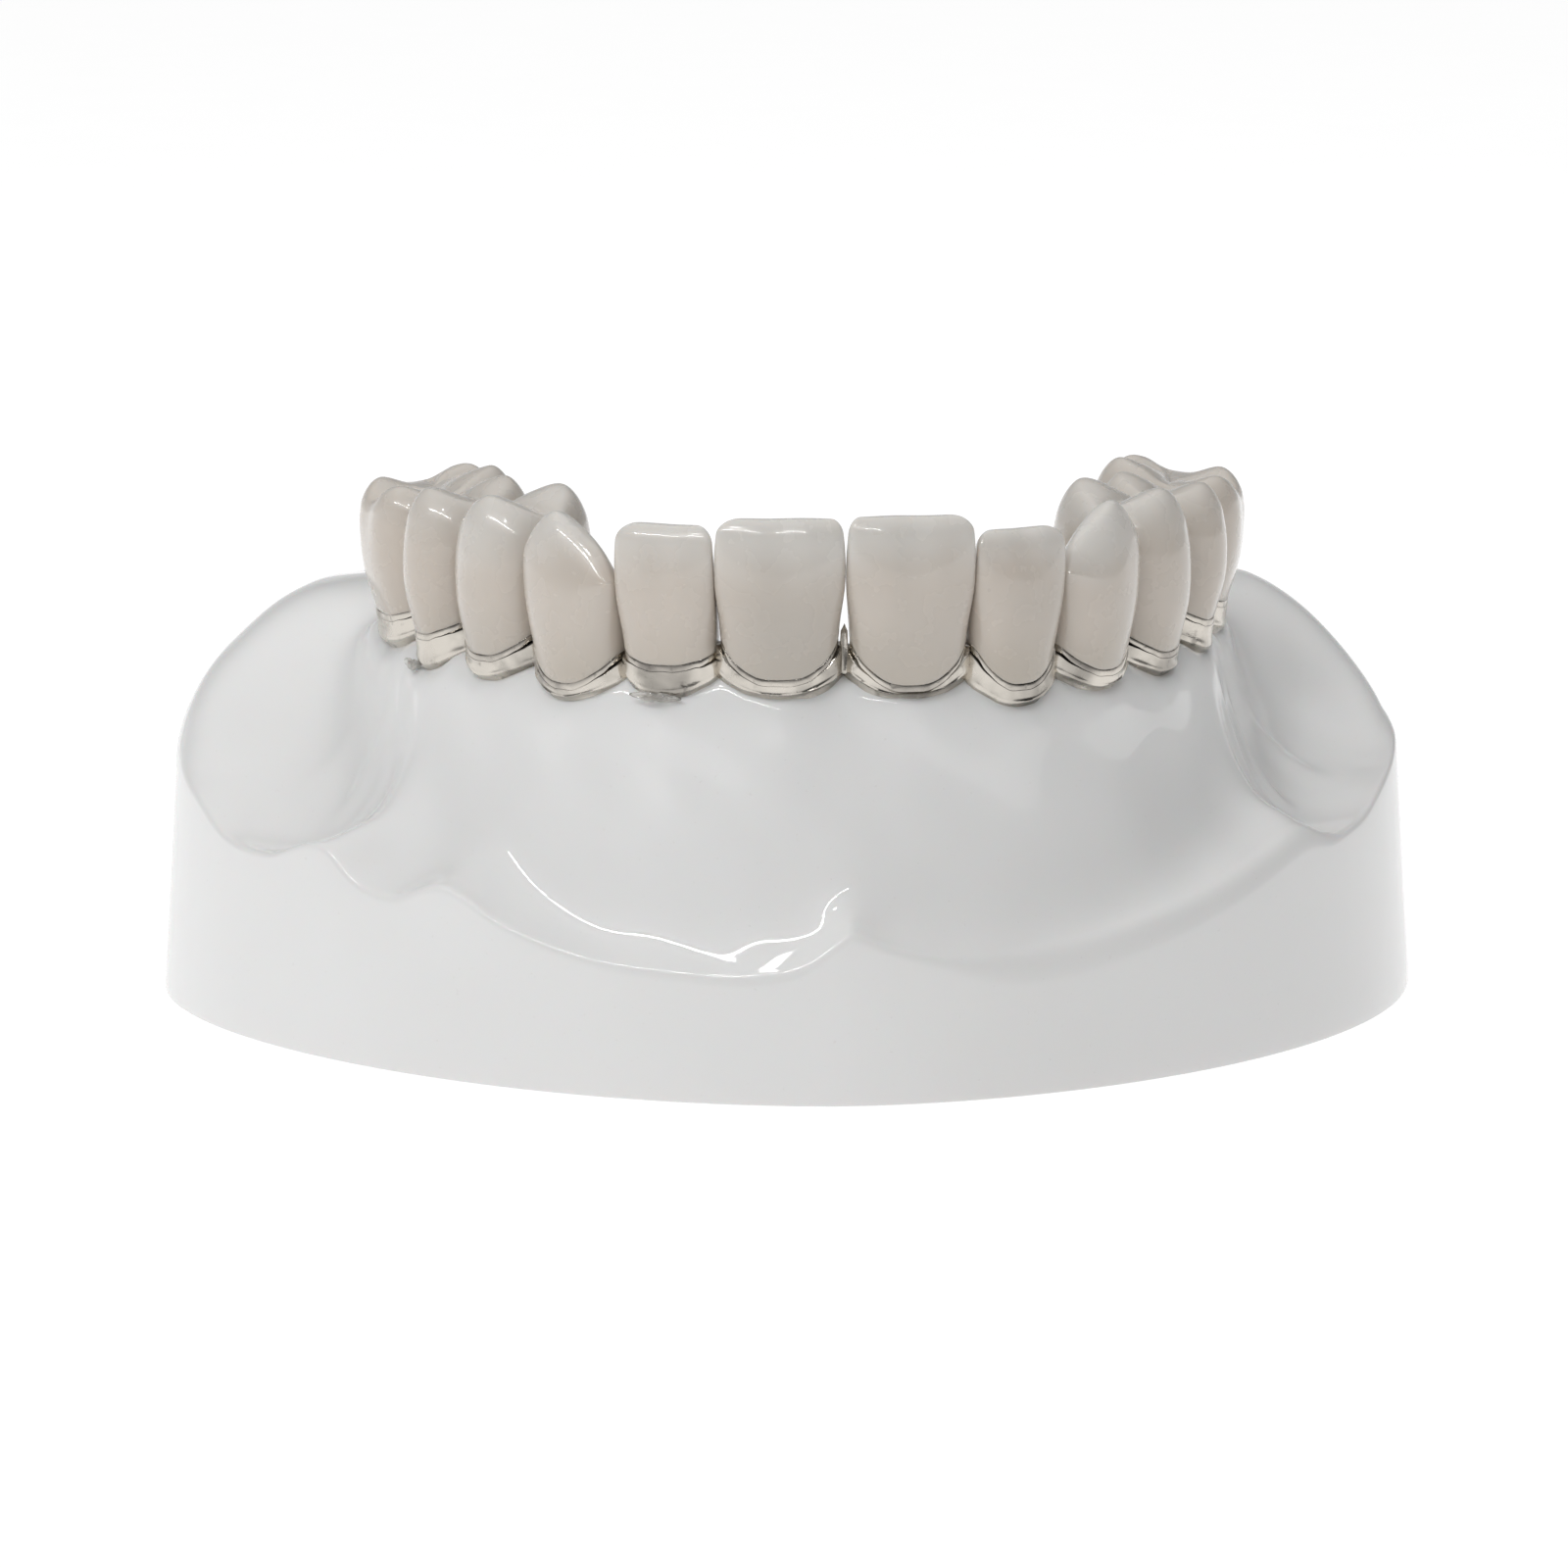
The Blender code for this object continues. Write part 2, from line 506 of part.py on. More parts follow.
def main():
    for thing in list(bpy.data.objects):
        bpy.data.objects.remove(thing, do_unlink=True)
    resin = make_material("white_resin", (0.80, 0.80, 0.79), 0.16, 0.0)
    porcelain = make_material("porcelain", (0.60, 0.52, 0.46), 0.18, 0.0)
    coping_alloy = make_material("coping_alloy", (0.46, 0.44, 0.41), 0.28, 1.0)
    die_alloy = make_material("die_alloy", (0.58, 0.56, 0.52), 0.24, 1.0)
    base = make_base(resin)
    sockets = bpy.data.collections.new("sockets")
    for side in ("right", "left"):
        for kind in KINDS:
            tooth = Tooth(kind, side)
            make_die(tooth, die_alloy)
            make_coping(tooth, coping_alloy)
            make_porcelain(tooth, porcelain)
            sockets.objects.link(make_socket_cutter(tooth))
    cut = base.modifiers.new("sockets", "BOOLEAN")
    cut.operation = "DIFFERENCE"
    cut.solver = "EXACT"
    cut.operand_type = "COLLECTION"
    cut.collection = sockets


main()
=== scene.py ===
"""Looks of the typodont model: the white arch cast, its metal dies and the porcelain crowns on them."""

import math

import bmesh
import bpy
import numpy as np
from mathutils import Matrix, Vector


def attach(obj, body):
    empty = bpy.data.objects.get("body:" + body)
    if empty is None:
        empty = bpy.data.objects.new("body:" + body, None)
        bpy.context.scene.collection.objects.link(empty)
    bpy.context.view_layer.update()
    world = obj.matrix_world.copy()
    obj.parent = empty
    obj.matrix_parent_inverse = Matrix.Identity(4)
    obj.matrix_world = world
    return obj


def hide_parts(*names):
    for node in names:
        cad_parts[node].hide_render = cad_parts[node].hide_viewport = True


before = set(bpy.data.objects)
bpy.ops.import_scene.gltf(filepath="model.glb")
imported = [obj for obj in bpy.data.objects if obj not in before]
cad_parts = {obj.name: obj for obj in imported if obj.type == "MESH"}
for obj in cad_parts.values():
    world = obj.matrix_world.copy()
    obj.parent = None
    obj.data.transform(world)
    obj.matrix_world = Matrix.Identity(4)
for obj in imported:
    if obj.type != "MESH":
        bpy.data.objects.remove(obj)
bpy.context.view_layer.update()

MM = 0.001

# ---------------------------------------------------------------- the CAD model's own dimensions
OUTLINE_CENTRE_Y = 37.0
OUTLINE_HALF_WIDTH = {"right": 42.2, "left": 43.0}
OUTLINE_FRONT_RADIUS = 41.5
OUTLINE_EXPONENT = {"right": 1.80, "left": 1.75}
OUTLINE_REAR_RADIUS = 36.0
HEEL_Y = 53.0
WALL_DRAFT = 0.065
ORIGIN_X = (OUTLINE_HALF_WIDTH["right"] - OUTLINE_HALF_WIDTH["left"]) / 2
ORIGIN_Y = (OUTLINE_CENTRE_Y - OUTLINE_FRONT_RADIUS + HEEL_Y) / 2

RIM_RIGHT = [(0, 10.9), (4, 9.8), (9, 8.9), (14, 8.6), (20, 8.9), (27, 9.7), (36, 11.1), (45, 12.9),
             (52, 14.2), (58, 13.3), (64, 13.6), (72, 15.2), (81, 16.6), (99, 16.4), (116, 15.6)]
RIM_LEFT = [(0, 10.9), (4, 8.8), (9, 8.0), (15, 8.1), (24, 8.7), (33, 10.4), (40, 12.4), (46, 11.3),
            (51, 12.0), (55, 13.7), (64, 12.6), (71, 12.8), (80, 14.8), (99, 15.4), (116, 15.4)]
STATIONS = [
    (0.0, (14.0, 21.0), (0.55, 11.8), (0.84, 14.5)),
    (12.9, (14.6, 20.2), (0.52, 10.6), (0.86, 13.0)),
    (24.0, (16.0, 18.6), (0.54, 10.8), (0.86, 13.0)),
    (37.5, (19.0, 16.4), (0.56, 12.2), (0.88, 14.0)),
    (51.0, (22.7, 14.4), (0.62, 13.6), (0.88, 15.5)),
    (64.0, (27.4, 13.2), (0.48, 11.6), (0.90, 12.8)),
    (79.0, (34.4, 12.7), (0.22, 16.4), (0.84, 16.6)),
    (91.0, (42.4, 12.9), (-0.02, 21.0), (0.50, 27.5)),
    (115.4, (HEEL_Y, 13.2), (-0.01, 20.8), (0.47, 27.2)),
]
FRENA = [(0.0, 0.17, 0.09, 0.8), (-3.15, 0.28, 0.03, 0.9), (-4.25, 0.28, 0.10, 2.4), (4.3, 0.30, 0.10, 2.0)]
TUBEROSITY = [(7.0, 27.3), (8.0, 26.8)]
REAR_LABIAL = [(7.0, 27.8, 43.0), (8.0, 27.4, HEEL_Y)]
REAR_PALATAL = [(7.0, 19.6, 43.0), (8.0, 20.2, HEEL_Y)]
GUM_SPREAD = 0.45
GUM_WAIST = 0.6
PAPILLA_RISE = 1.25
PAPILLA_SPREAD = 0.27
TEETH_STATIONS = 6

CONTACTS = [(0.0, 0.7), (8.25, 1.3), (14.3, 4.4), (19.8, 10.1), (24.5, 16.6), (27.2, 23.0), (29.6, 33.2)]
CONTACT_GAP = 0.16
INCISOR_WIDTH = [(0.0, 0.99), (0.25, 1.02), (0.6, 1.02), (0.85, 0.99), (1.0, 0.95)]
MOLAR_WIDTH = [(0.0, 0.90), (0.3, 0.98), (0.6, 1.0), (0.85, 0.97), (1.0, 0.92)]
KINDS = {
    "central": {
        "bulge": 1.0, "belly": 0.36, "width": INCISOR_WIDTH, "taper": 0.34, "power": 2.5,
        "labial": [(0.0, 0.55), (0.25, 0.0), (0.6, -0.15), (1.0, 0.25)],
        "palatal": [(0.0, 6.3), (0.15, 6.9), (0.45, 4.4), (0.75, 2.7), (1.0, 2.0)],
        "edge": 0.87, "round_near": 0.16, "round_far": 0.34, "round_deep": 0.86,
        "cusps": [], "slope": 0.0, "stump_top": 0.60,
        "lobes": 0.05, "spine": 0.0, "grooves": [],
    },
    "lateral": {
        "bulge": 0.9, "belly": 0.36, "width": INCISOR_WIDTH, "taper": 0.36, "power": 2.4,
        "labial": [(0.0, 0.5), (0.25, 0.0), (0.6, -0.1), (1.0, 0.3)],
        "palatal": [(0.0, 5.8), (0.15, 6.3), (0.45, 4.1), (0.75, 2.6), (1.0, 2.0)],
        "edge": 0.86, "round_near": 0.30, "round_far": 0.42, "round_deep": 0.86,
        "cusps": [], "slope": 0.0, "stump_top": 0.60,
        "lobes": 0.04, "spine": 0.0, "grooves": [],
    },
    "canine": {
        "bulge": 1.3, "belly": 0.40, "width": INCISOR_WIDTH, "taper": 0.38, "power": 2.15,
        "labial": [(0.0, 0.6), (0.25, 0.0), (0.6, 0.0), (1.0, 0.6)],
        "palatal": [(0.0, 6.9), (0.15, 7.5), (0.45, 5.4), (0.75, 3.9), (1.0, 2.9)],
        "edge": 0.82, "round_near": 0.46, "round_far": 0.40, "round_deep": 0.80,
        "cusps": [(0.30, 1.5, 0.0)], "slope": 0.72, "stump_top": 0.56,
        "lobes": 0.0, "spine": 0.16, "grooves": [],
    },
    "premolar_1": {
        "bulge": 1.0, "belly": 0.46, "width": MOLAR_WIDTH, "taper": 0.16, "power": 2.3,
        "labial": [(0.0, 0.7), (0.3, 0.0), (0.6, 0.0), (1.0, 0.6)],
        "palatal": [(0.0, 7.9), (0.35, 9.2), (0.7, 9.1), (1.0, 8.4)],
        "edge": 0.82, "round_near": 0.30, "round_far": 0.30, "round_deep": 0.30,
        "cusps": [(0.0, 1.7, 0.35), (-0.05, 7.1, 0.0)], "slope": 0.44, "stump_top": 0.55,
        "lobes": 0.0, "spine": 0.12, "grooves": [(-0.55, 4.5, 0.55, 4.5)],
    },
    "premolar_2": {
        "bulge": 0.9, "belly": 0.5, "width": MOLAR_WIDTH, "taper": 0.16, "power": 2.3,
        "labial": [(0.0, 0.7), (0.3, 0.0), (0.6, 0.0), (1.0, 0.5)],
        "palatal": [(0.0, 7.7), (0.35, 8.8), (0.7, 8.7), (1.0, 8.0)],
        "edge": 0.82, "round_near": 0.28, "round_far": 0.28, "round_deep": 0.30,
        "cusps": [(0.0, 1.7, 0.5), (0.0, 6.9, 0.0)], "slope": 0.42, "stump_top": 0.55,
        "lobes": 0.0, "spine": 0.10, "grooves": [(-0.5, 4.5, 0.5, 4.5)],
    },
    "molar_1": {
        "bulge": 0.9, "belly": 0.5, "width": MOLAR_WIDTH, "taper": 0.08, "power": 2.7,
        "labial": [(0.0, 1.0), (0.3, 0.2), (0.6, 0.0), (1.0, 0.2)],
        "palatal": [(0.0, 9.2), (0.35, 10.4), (0.7, 10.2), (1.0, 9.4)],
        "edge": 0.85, "round_near": 0.22, "round_far": 0.22, "round_deep": 0.24,
        "cusps": [(-0.50, 1.7, 1.1), (0.52, 1.8, 1.1), (-0.42, 8.2, 0.0), (0.50, 7.9, 0.3)],
        "slope": 0.42, "stump_top": 0.52,
        "lobes": 0.06, "spine": 0.0,
        "grooves": [(-0.62, 4.9, 0.1, 4.9), (0.1, 4.9, 0.62, 5.4), (0.05, 0.6, 0.05, 4.9),
                    (0.35, 5.2, 0.25, 9.8)],
    },
}
HEIGHTS = {
    "central": {"right": (36.6, 25.9, 25.2, 2.8), "left": (36.5, 26.3, 25.2, 2.6)},
    "lateral": {"right": (35.5, 25.6, 24.2, 2.6), "left": (36.0, 27.1, 25.0, 0.8)},
    "canine": {"right": (36.5, 25.8, 24.6, 2.0), "left": (36.2, 25.4, 24.4, 2.2)},
    "premolar_1": {"right": (36.9, 26.0, 24.5, 1.6), "left": (36.9, 26.3, 24.8, 1.8)},
    "premolar_2": {"right": (36.6, 27.1, 25.0, 1.2), "left": (36.8, 26.8, 24.5, 1.2)},
    "molar_1": {"right": (36.9, 27.2, 25.2, 1.0), "left": (36.8, 27.0, 25.0, 1.0)},
}
FIT_GAP = 0.08
COPING_WALL = 0.40
COLLAR_HEIGHT = 0.42
SHOULDER = 1.15
STUMP_TAPER = 0.37
NECK_IN = 0.35
NECK_SCALLOP = 1.4
ROOT_LENGTH = 10.5

# ---------------------------------------------------------------- detail that only the looks have
SIDES = 96
COLUMNS_PER_STATION = 32
RIM_ROUND = 0.5
SOFT_RIM_ROUND = 1.8
FOOT_ROUND = 0.35
# The gap above and below a crown's collar.
SEAM = 0.01
# Thin folds in the two deep scoops: (station, width in stations, start and end up the slope, height).
FOLDS = [(4.64, 0.07, 0.25, 0.95, 0.46), (5.02, 0.07, 0.30, 0.92, 0.44), (5.55, 0.10, 0.25, 0.80, 0.36),
         (-5.15, 0.10, 0.35, 0.92, 0.20), (-5.6, 0.12, 0.30, 0.85, 0.18), (-6.3, 0.18, 0.35, 0.8, 0.14)]
# Soft hollows pressed into the cast: (centre, reach along x, y and z, depth).
HOLLOWS = [((34.5, 39.0, 19.0), (5.0, 7.0, 3.4), 1.9), ((-35.5, 40.0, 17.5), (4.5, 8.0, 3.5), 0.5),
           ((1.9, 5.0, 13.0), (1.6, 2.5, 1.8), 0.35)]
# The metal sliver between the central crowns: its foot and top, its half width and half depth at the
# foot before it narrows towards the back, and how far its middle stands behind the crown's front.
WEB_FOOT, WEB_TOP = 26.6, 29.7
WEB_HALF_WIDTH, WEB_HALF_DEPTH = 0.42, 0.42
WEB_BEHIND_FACE = 1.15
RUGAE = [(12.6, 0.30), (15.6, 0.28), (19.0, 0.22)]
# Painted shade on the porcelain, greyer and darker at the crown necks and between crowns: (place in
# millimetres, reach, strength).
PAINTED_SHADE_SPOTS = [((-4.0, 0.4, 29.2), 6.4, 0.62), ((5.2, 0.5, 29.0), 4.5, 0.26), ((2.0, 0.5, 27.4), 3.2, 0.22),
          ((12.6, 3.0, 30.2), 4.2, 0.22), ((-21.8, 14.0, 28.0), 4.5, 0.24), ((24.4, 17.0, 30.5), 4.0, 0.18)]


def curve(knots, at):
    """A smooth curve through (position, value) knots."""
    x = np.array([k[0] for k in knots], float)
    y = np.array([k[1] for k in knots], float)
    slope = np.gradient(y, x)
    at = np.clip(np.asarray(at, float), x[0], x[-1])
    i = np.clip(np.searchsorted(x, at, side="right") - 1, 0, len(x) - 2)
    step = x[i + 1] - x[i]
    u = (at - x[i]) / step
    return ((1 + 2 * u) * (1 - u) ** 2 * y[i] + u * (1 - u) ** 2 * step * slope[i]
            + u * u * (3 - 2 * u) * y[i + 1] + u * u * (u - 1) * step * slope[i + 1])


def smoothstep(low, high, x):
    t = np.clip((x - low) / (high - low), 0, 1)
    return t * t * (3 - 2 * t)


def station_value(pick, at):
    count = len(STATIONS)
    knots = [(i, pick(STATIONS[abs(i)], 1 if i >= 0 else -1)) for i in range(1 - count, count)]
    return curve(knots, at)


def outline_point(angle, height, inset=0.0):
    """The trimmed outline at angles from the front, drawn in a little with height."""
    sine, cosine = np.sin(np.radians(angle)), np.cos(np.radians(angle))
    deep = np.where(cosine >= 0, OUTLINE_FRONT_RADIUS, OUTLINE_REAR_RADIUS)
    wide = np.where(sine < 0, OUTLINE_HALF_WIDTH["left"], OUTLINE_HALF_WIDTH["right"])
    bend = np.where(sine < 0, OUTLINE_EXPONENT["left"], OUTLINE_EXPONENT["right"])
    power = np.where(cosine >= 0, bend, 2.0)
    reach = ((np.abs(sine) / wide) ** power + (np.abs(cosine) / deep) ** power) ** (-1 / power)
    reach = reach - inset
    back = np.minimum(-reach * cosine, HEEL_Y - OUTLINE_CENTRE_Y)
    height = np.broadcast_to(height, np.shape(angle))
    draft = 1 - WALL_DRAFT * height / wide
    y = OUTLINE_CENTRE_Y + back * np.where(back < 0, draft, 1)
    return np.column_stack([reach * sine * draft, y, height])


class Tooth:
    """One tooth's shapes, in its own axes: x away from the midline, y towards the palate."""

    def __init__(self, kind, side):
        self.kind, self.side = kind, side
        self.sign = 1 if side == "right" else -1
        self.number = list(KINDS).index(kind)
        self.form = KINDS[kind]
        near, far = np.array(CONTACTS[self.number]), np.array(CONTACTS[self.number + 1])
        self.along = (far - near) / np.linalg.norm(far - near)
        self.inward = np.array([-self.along[1], self.along[0]])
        self.face = (near + far) / 2 - self.inward * self.form["bulge"]
        self.half_width = (np.linalg.norm(far - near) - CONTACT_GAP) / 2
        self.top, self.margin, self.gum, self.rise = HEIGHTS[kind][side]
        self.turn = np.linspace(0, 2 * math.pi, SIDES, endpoint=False)
        self.seed = self.number * 1.7 + (0.6 if side == "left" else 0.0)

    def labial(self, h):
        return float(curve(self.form["labial"], h))

    def palatal(self, h):
        return float(curve(self.form["palatal"], h))

    def section(self, half_width, front, back, wide=(1.0, 1.0)):
        power = self.form["power"]
        cosine, sine = np.cos(self.turn), np.sin(self.turn)
        x = np.sign(cosine) * np.abs(cosine) ** (2 / power) * half_width
        x = x * np.where(cosine > 0, wide[1], wide[0])
        middle = front + (back - front) * self.form["belly"]
        reach = np.where(sine < 0, middle - front, back - middle)
        y = middle + np.sign(sine) * np.abs(sine) ** (2 / power) * reach
        return x * (1 - self.form["taper"] * np.clip((y - self.form["bulge"]) / 6.0, 0.0, 1.3)), y

    def margin_rise(self):
        return self.rise * np.cos(self.turn) ** 2

    def wave(self, amount, *counts):
        """A small unevenness round the tooth, as a hand-finished edge has."""
        return amount * sum(np.sin(c * self.turn + c * self.seed) / (1 + 0.2 * i)
                            for i, c in enumerate(counts))

    def spot(self, x, y):
        return self.face + np.multiply.outer(x, self.along) + np.multiply.outer(y, self.inward)

    def world(self, ring):
        x, y, z = ring
        spot = self.spot(x, y)
        return np.column_stack([spot[:, 0] * self.sign, spot[:, 1], z])

    def relief(self, x, y, h):
        """How far the crown's top lies under its highest point, from its cusps and fissures."""
        cusps = self.form["cusps"]
        if not cusps:
            return 0.018 * (1 + np.sin(1.5 * x + self.seed)) * smoothstep(0.9, 1.0, h)
        sharp = 4.0
        rise = []
        for cx, cy, under in cusps:
            far = np.hypot(x - cx * self.half_width, y - cy)
            rise.append(-under - self.form["slope"] * (np.hypot(far, 0.7) - 0.7))
        highest = np.log(sum(np.exp(sharp * r) for r in rise)) / sharp
        blend = np.clip((h - 0.45) / 0.5, 0, 1)
        fissure = np.zeros(np.shape(x))
        for ax, ay, bx, by in self.form["grooves"]:
            ax, bx = ax * self.half_width, bx * self.half_width
            run = np.array([bx - ax, by - ay])
            t = np.clip(((x - ax) * run[0] + (y - ay) * run[1]) / (run @ run), 0, 1)
            far = np.hypot(x - ax - t * run[0], y - ay - t * run[1])
            crease = 0.26 * np.exp(-((far / 0.34) ** 2)) + 0.30 * np.exp(-((far / 1.0) ** 2))
            fissure = np.maximum(fissure, crease)
        return -highest * blend * blend * (3 - 2 * blend) + fissure * smoothstep(0.93, 1.0, h)

    def crown_ring(self, h, wide=(1.0, 1.0), deep=1.0, inset=0.0):
        front, back = self.labial(h), self.palatal(h)
        middle, half = (front + back) / 2, (back - front) / 2 * deep
        width = float(curve(self.form["width"], h)) * self.half_width
        x, y = self.section(width - inset, middle - half + inset, middle + half - inset, wide)
        facing = np.clip(-np.sin(self.turn), 0, 1) ** 0.7
        across = x / self.half_width
        upper = smoothstep(0.25, 0.75, h)
        y = y + facing * upper * self.form["lobes"] * np.cos(across * 2 * math.pi * 1.25)
        y = y - facing * self.form["spine"] * smoothstep(0.1, 0.6, h) * np.exp(-((across / 0.35) ** 2))
        z = self.margin + self.margin_rise() * (1 - h) + h * (self.top - self.margin)
        return x, y, z - self.relief(x, y, h)

    def crown_outside(self):
        form = self.form
        edge = form["edge"]
        rings = []
        for h in (0.0, 0.006, 0.015, 0.03):
            x, y, z = self.crown_ring(h, inset=0.04 * (1 - h / 0.03) ** 2)
            rings.append((x, y, z + self.wave(0.02, 5, 11) * (1 - h / 0.03)))
        rings += [self.crown_ring(h) for h in np.linspace(0.05, edge, 26)[:-1]]
        for angle in np.linspace(0, 90, 12):
            turned = 1 - math.cos(math.radians(angle))
            h = edge + (1 - edge) * math.sin(math.radians(angle))
            wide = (1 - form["round_near"] * turned, 1 - form["round_far"] * turned)
            rings.append(self.crown_ring(h, wide, 1 - form["round_deep"] * turned))
        for step in np.linspace(1, 0, 27 if form["cusps"] else 6)[1:-1]:
            wide = ((1 - form["round_near"]) * step, (1 - form["round_far"]) * step)
            rings.append(self.crown_ring(1.0, wide, (1 - form["round_deep"]) * step))
        return rings

    def stump_ring(self, share, grown):
        h = share * self.form["stump_top"]
        shrink = 1 - STUMP_TAPER * share
        cervical = float(curve(self.form["width"], 0)) * self.half_width
        front = self.labial(0) + SHOULDER + 0.25 * share
        back = min(self.palatal(0), self.palatal(h)) - SHOULDER * 0.9 - 0.25 * share
        x, y = self.section((cervical - SHOULDER) * shrink + grown, front - grown, back + grown)
        return x, y, self.margin + self.margin_rise() * (1 - share) + h * (self.top - self.margin)

    def stump_rings(self, grown, lift):
        rings = [self.stump_ring(share, grown) for share in (0.0, 0.18, 0.36, 0.55, 0.75, 0.93)]
        x, y, z = self.stump_ring(1.0, grown)
        rings.append((x * 0.96, y.mean() + (y - y.mean()) * 0.9, z + 0.05 + lift * 0.7))
        rings.append((x * 0.86, y.mean() + (y - y.mean()) * 0.7, z + 0.15 + lift))
        rings.append((x * 0.5, y.mean() + (y - y.mean()) * 0.4, z + 0.17 + lift))
        return rings

    def neck_ring(self, share, out=0.0):
        width = float(curve(self.form["width"], 0)) * self.half_width
        inset = NECK_IN * (1 - share) - out
        x, y = self.section(width - inset, self.labial(0) + inset, self.palatal(0) - inset)
        between = np.abs(np.cos(self.turn)) ** 6
        reach = self.half_width + 0.03 - 0.25 * max(share - 0.6, 0.0)
        x = x + np.sign(x) * between * np.maximum(reach - np.abs(x), 0.0)
        low = self.gum + 0.1 + NECK_SCALLOP * np.cos(self.turn) ** 2
        high = self.margin - COLLAR_HEIGHT - SEAM + self.margin_rise()
        return x, y, low + (high - low) * share

    def root_ring(self, depth, scale):
        width = (float(curve(self.form["width"], 0)) * self.half_width - NECK_IN) * scale
        front, back = self.labial(0) + NECK_IN, self.palatal(0) - NECK_IN
        middle, half = (front + back) / 2, (back - front) / 2 * scale
        x, y = self.section(width, middle - half, middle + half)
        return x, y, np.full(SIDES, self.gum - depth)


TEETH = [Tooth(kind, side) for side in ("right", "left") for kind in KINDS]


# ---------------------------------------------------------------- meshes
def add_object(name, points, faces, sharp=None):
    """A smooth-shaded object from millimetre points, moved to the object's own origin."""
    points = (np.asarray(points, float) - [ORIGIN_X, ORIGIN_Y, 0.0]) * MM
    mesh = bpy.data.meshes.new(name)
    mesh.from_pydata(points.tolist(), [], faces)
    edit = bmesh.new()
    edit.from_mesh(mesh)
    bmesh.ops.remove_doubles(edit, verts=edit.verts, dist=2e-7)
    bmesh.ops.recalc_face_normals(edit, faces=edit.faces)
    edit.to_mesh(mesh)
    edit.free()
    mesh.shade_smooth()
    if sharp:
        mesh.set_sharp_from_angle(angle=math.radians(sharp))
    thing = bpy.data.objects.new(name, mesh)
    bpy.context.scene.collection.objects.link(thing)
    return thing


def loft(rings):
    """Quads round closed rings, with a fan in the middle of each end."""
    count = len(rings[0])
    points = [point for ring in rings for point in ring]
    faces = []
    for k in range(len(rings) - 1):
        for j in range(count):
            low, high, after = k * count, (k + 1) * count, (j + 1) % count
            faces.append([low + j, low + after, high + after, high + j])
    for end, base in ((rings[0], 0), (rings[-1], (len(rings) - 1) * count)):
        faces += [[len(points), base + j, base + (j + 1) % count] for j in range(count)]
        points.append(np.mean(end, axis=0))
    return points, faces


def lofted(name, tooth, rings, body, node, material, sharp=50):
    points, faces = loft([tooth.world(ring) for ring in rings])
    piece = add_object(name, points, faces, sharp)
    piece.data.materials.append(material)
    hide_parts(node)
    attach(piece, body)
    return piece


def make_porcelain(tooth, material):
    name = f"{tooth.kind}_{tooth.side}"
    inside = tooth.stump_rings(FIT_GAP + COPING_WALL + FIT_GAP, FIT_GAP + COPING_WALL + FIT_GAP)[::-1]
    rings = inside + tooth.crown_outside()
    return lofted(f"crown_{name}", tooth, rings, f"crown_{name}", f"porcelain_{name}", material)


def make_coping(tooth, material):
    """The cap, whose collar shows as a thin line under the porcelain."""
    name = f"{tooth.kind}_{tooth.side}"
    inside = tooth.stump_rings(FIT_GAP, FIT_GAP)[::-1]
    x, y, z = inside[-1]
    inside[-1] = (x, y, z - COLLAR_HEIGHT)
    uneven = tooth.wave(0.025, 5, 11, 19)
    low, high = -COLLAR_HEIGHT, -SEAM
    profile = ((0.05, low), (0.035, low + 0.02), (0.03, low + 0.08), (0.01, high - 0.05), (0.03, high))
    collar = []
    for inset, level in profile:
        x, y, z = tooth.crown_ring(0.0, inset=inset)
        lower = level < low / 2
        collar.append((x, y, z + level + uneven * lower))
    outside = tooth.stump_rings(FIT_GAP + COPING_WALL, FIT_GAP + COPING_WALL)
    x, y, z = outside[0]
    rings = inside + collar + [(x, y, z + high)] + outside[1:]
    return lofted(f"cap_{name}", tooth, rings, f"crown_{name}", f"coping_{name}", material)


def make_die(tooth, material):
    """The metal tooth: hidden root, a lip on the gum, a waisted neck, a shoulder and the stump."""
    name = f"{tooth.kind}_{tooth.side}"
    stump = tooth.stump_rings(0.0, 0.0)
    x, y, z = stump[0]
    uneven = tooth.wave(0.025, 5, 11, 19)
    shoulder = (x, y, z - COLLAR_HEIGHT - SEAM)
    rings = [tooth.root_ring(ROOT_LENGTH, 0.30), tooth.root_ring(ROOT_LENGTH * 0.93, 0.42),
             tooth.root_ring(0.9, 0.80)]
    profile = ((-0.30, -0.20), (-0.06, 0.02), (0.0, 0.12), (0.07, 0.18), (0.16, 0.19), (0.28, 0.13),
               (0.42, 0.07), (0.58, 0.03), (0.75, 0.0), (0.90, -0.02), (0.98, -0.03), (1.0, -0.045))
    for share, out in profile:
        lip = 1 - smoothstep(0.05, 0.4, share)
        out = out + tooth.wave(0.025, 3, 7, 12) * lip
        x, y, z = tooth.neck_ring(max(share, 0.0), out)
        sunk = 0.9 * min(share, 0.0)
        rings.append((x, y, z + sunk + uneven * smoothstep(0.5, 1.0, share) + tooth.wave(0.04, 4, 7) * lip))
    rings += [shoulder] + stump[1:]
    return lofted(f"metal_die_{name}", tooth, rings, "model", f"die_{name}", material)


# ---------------------------------------------------------------- the base
def ridge_height(at):
    knots = [(-where, height) for where, height in reversed(TUBEROSITY)]
    knots += [(-number - 0.5, HEIGHTS[kind]["left"][2]) for number, kind in reversed(list(enumerate(KINDS)))]
    knots += [(number + 0.5, HEIGHTS[kind]["right"][2]) for number, kind in enumerate(KINDS)]
    knots += TUBEROSITY
    near = np.abs(at - np.round(at))
    fade = np.clip(TEETH_STATIONS + 0.5 - np.abs(at), 0, 1)
    return curve(knots, at) + PAPILLA_RISE * np.exp(-((near / PAPILLA_SPREAD) ** 2)) * fade


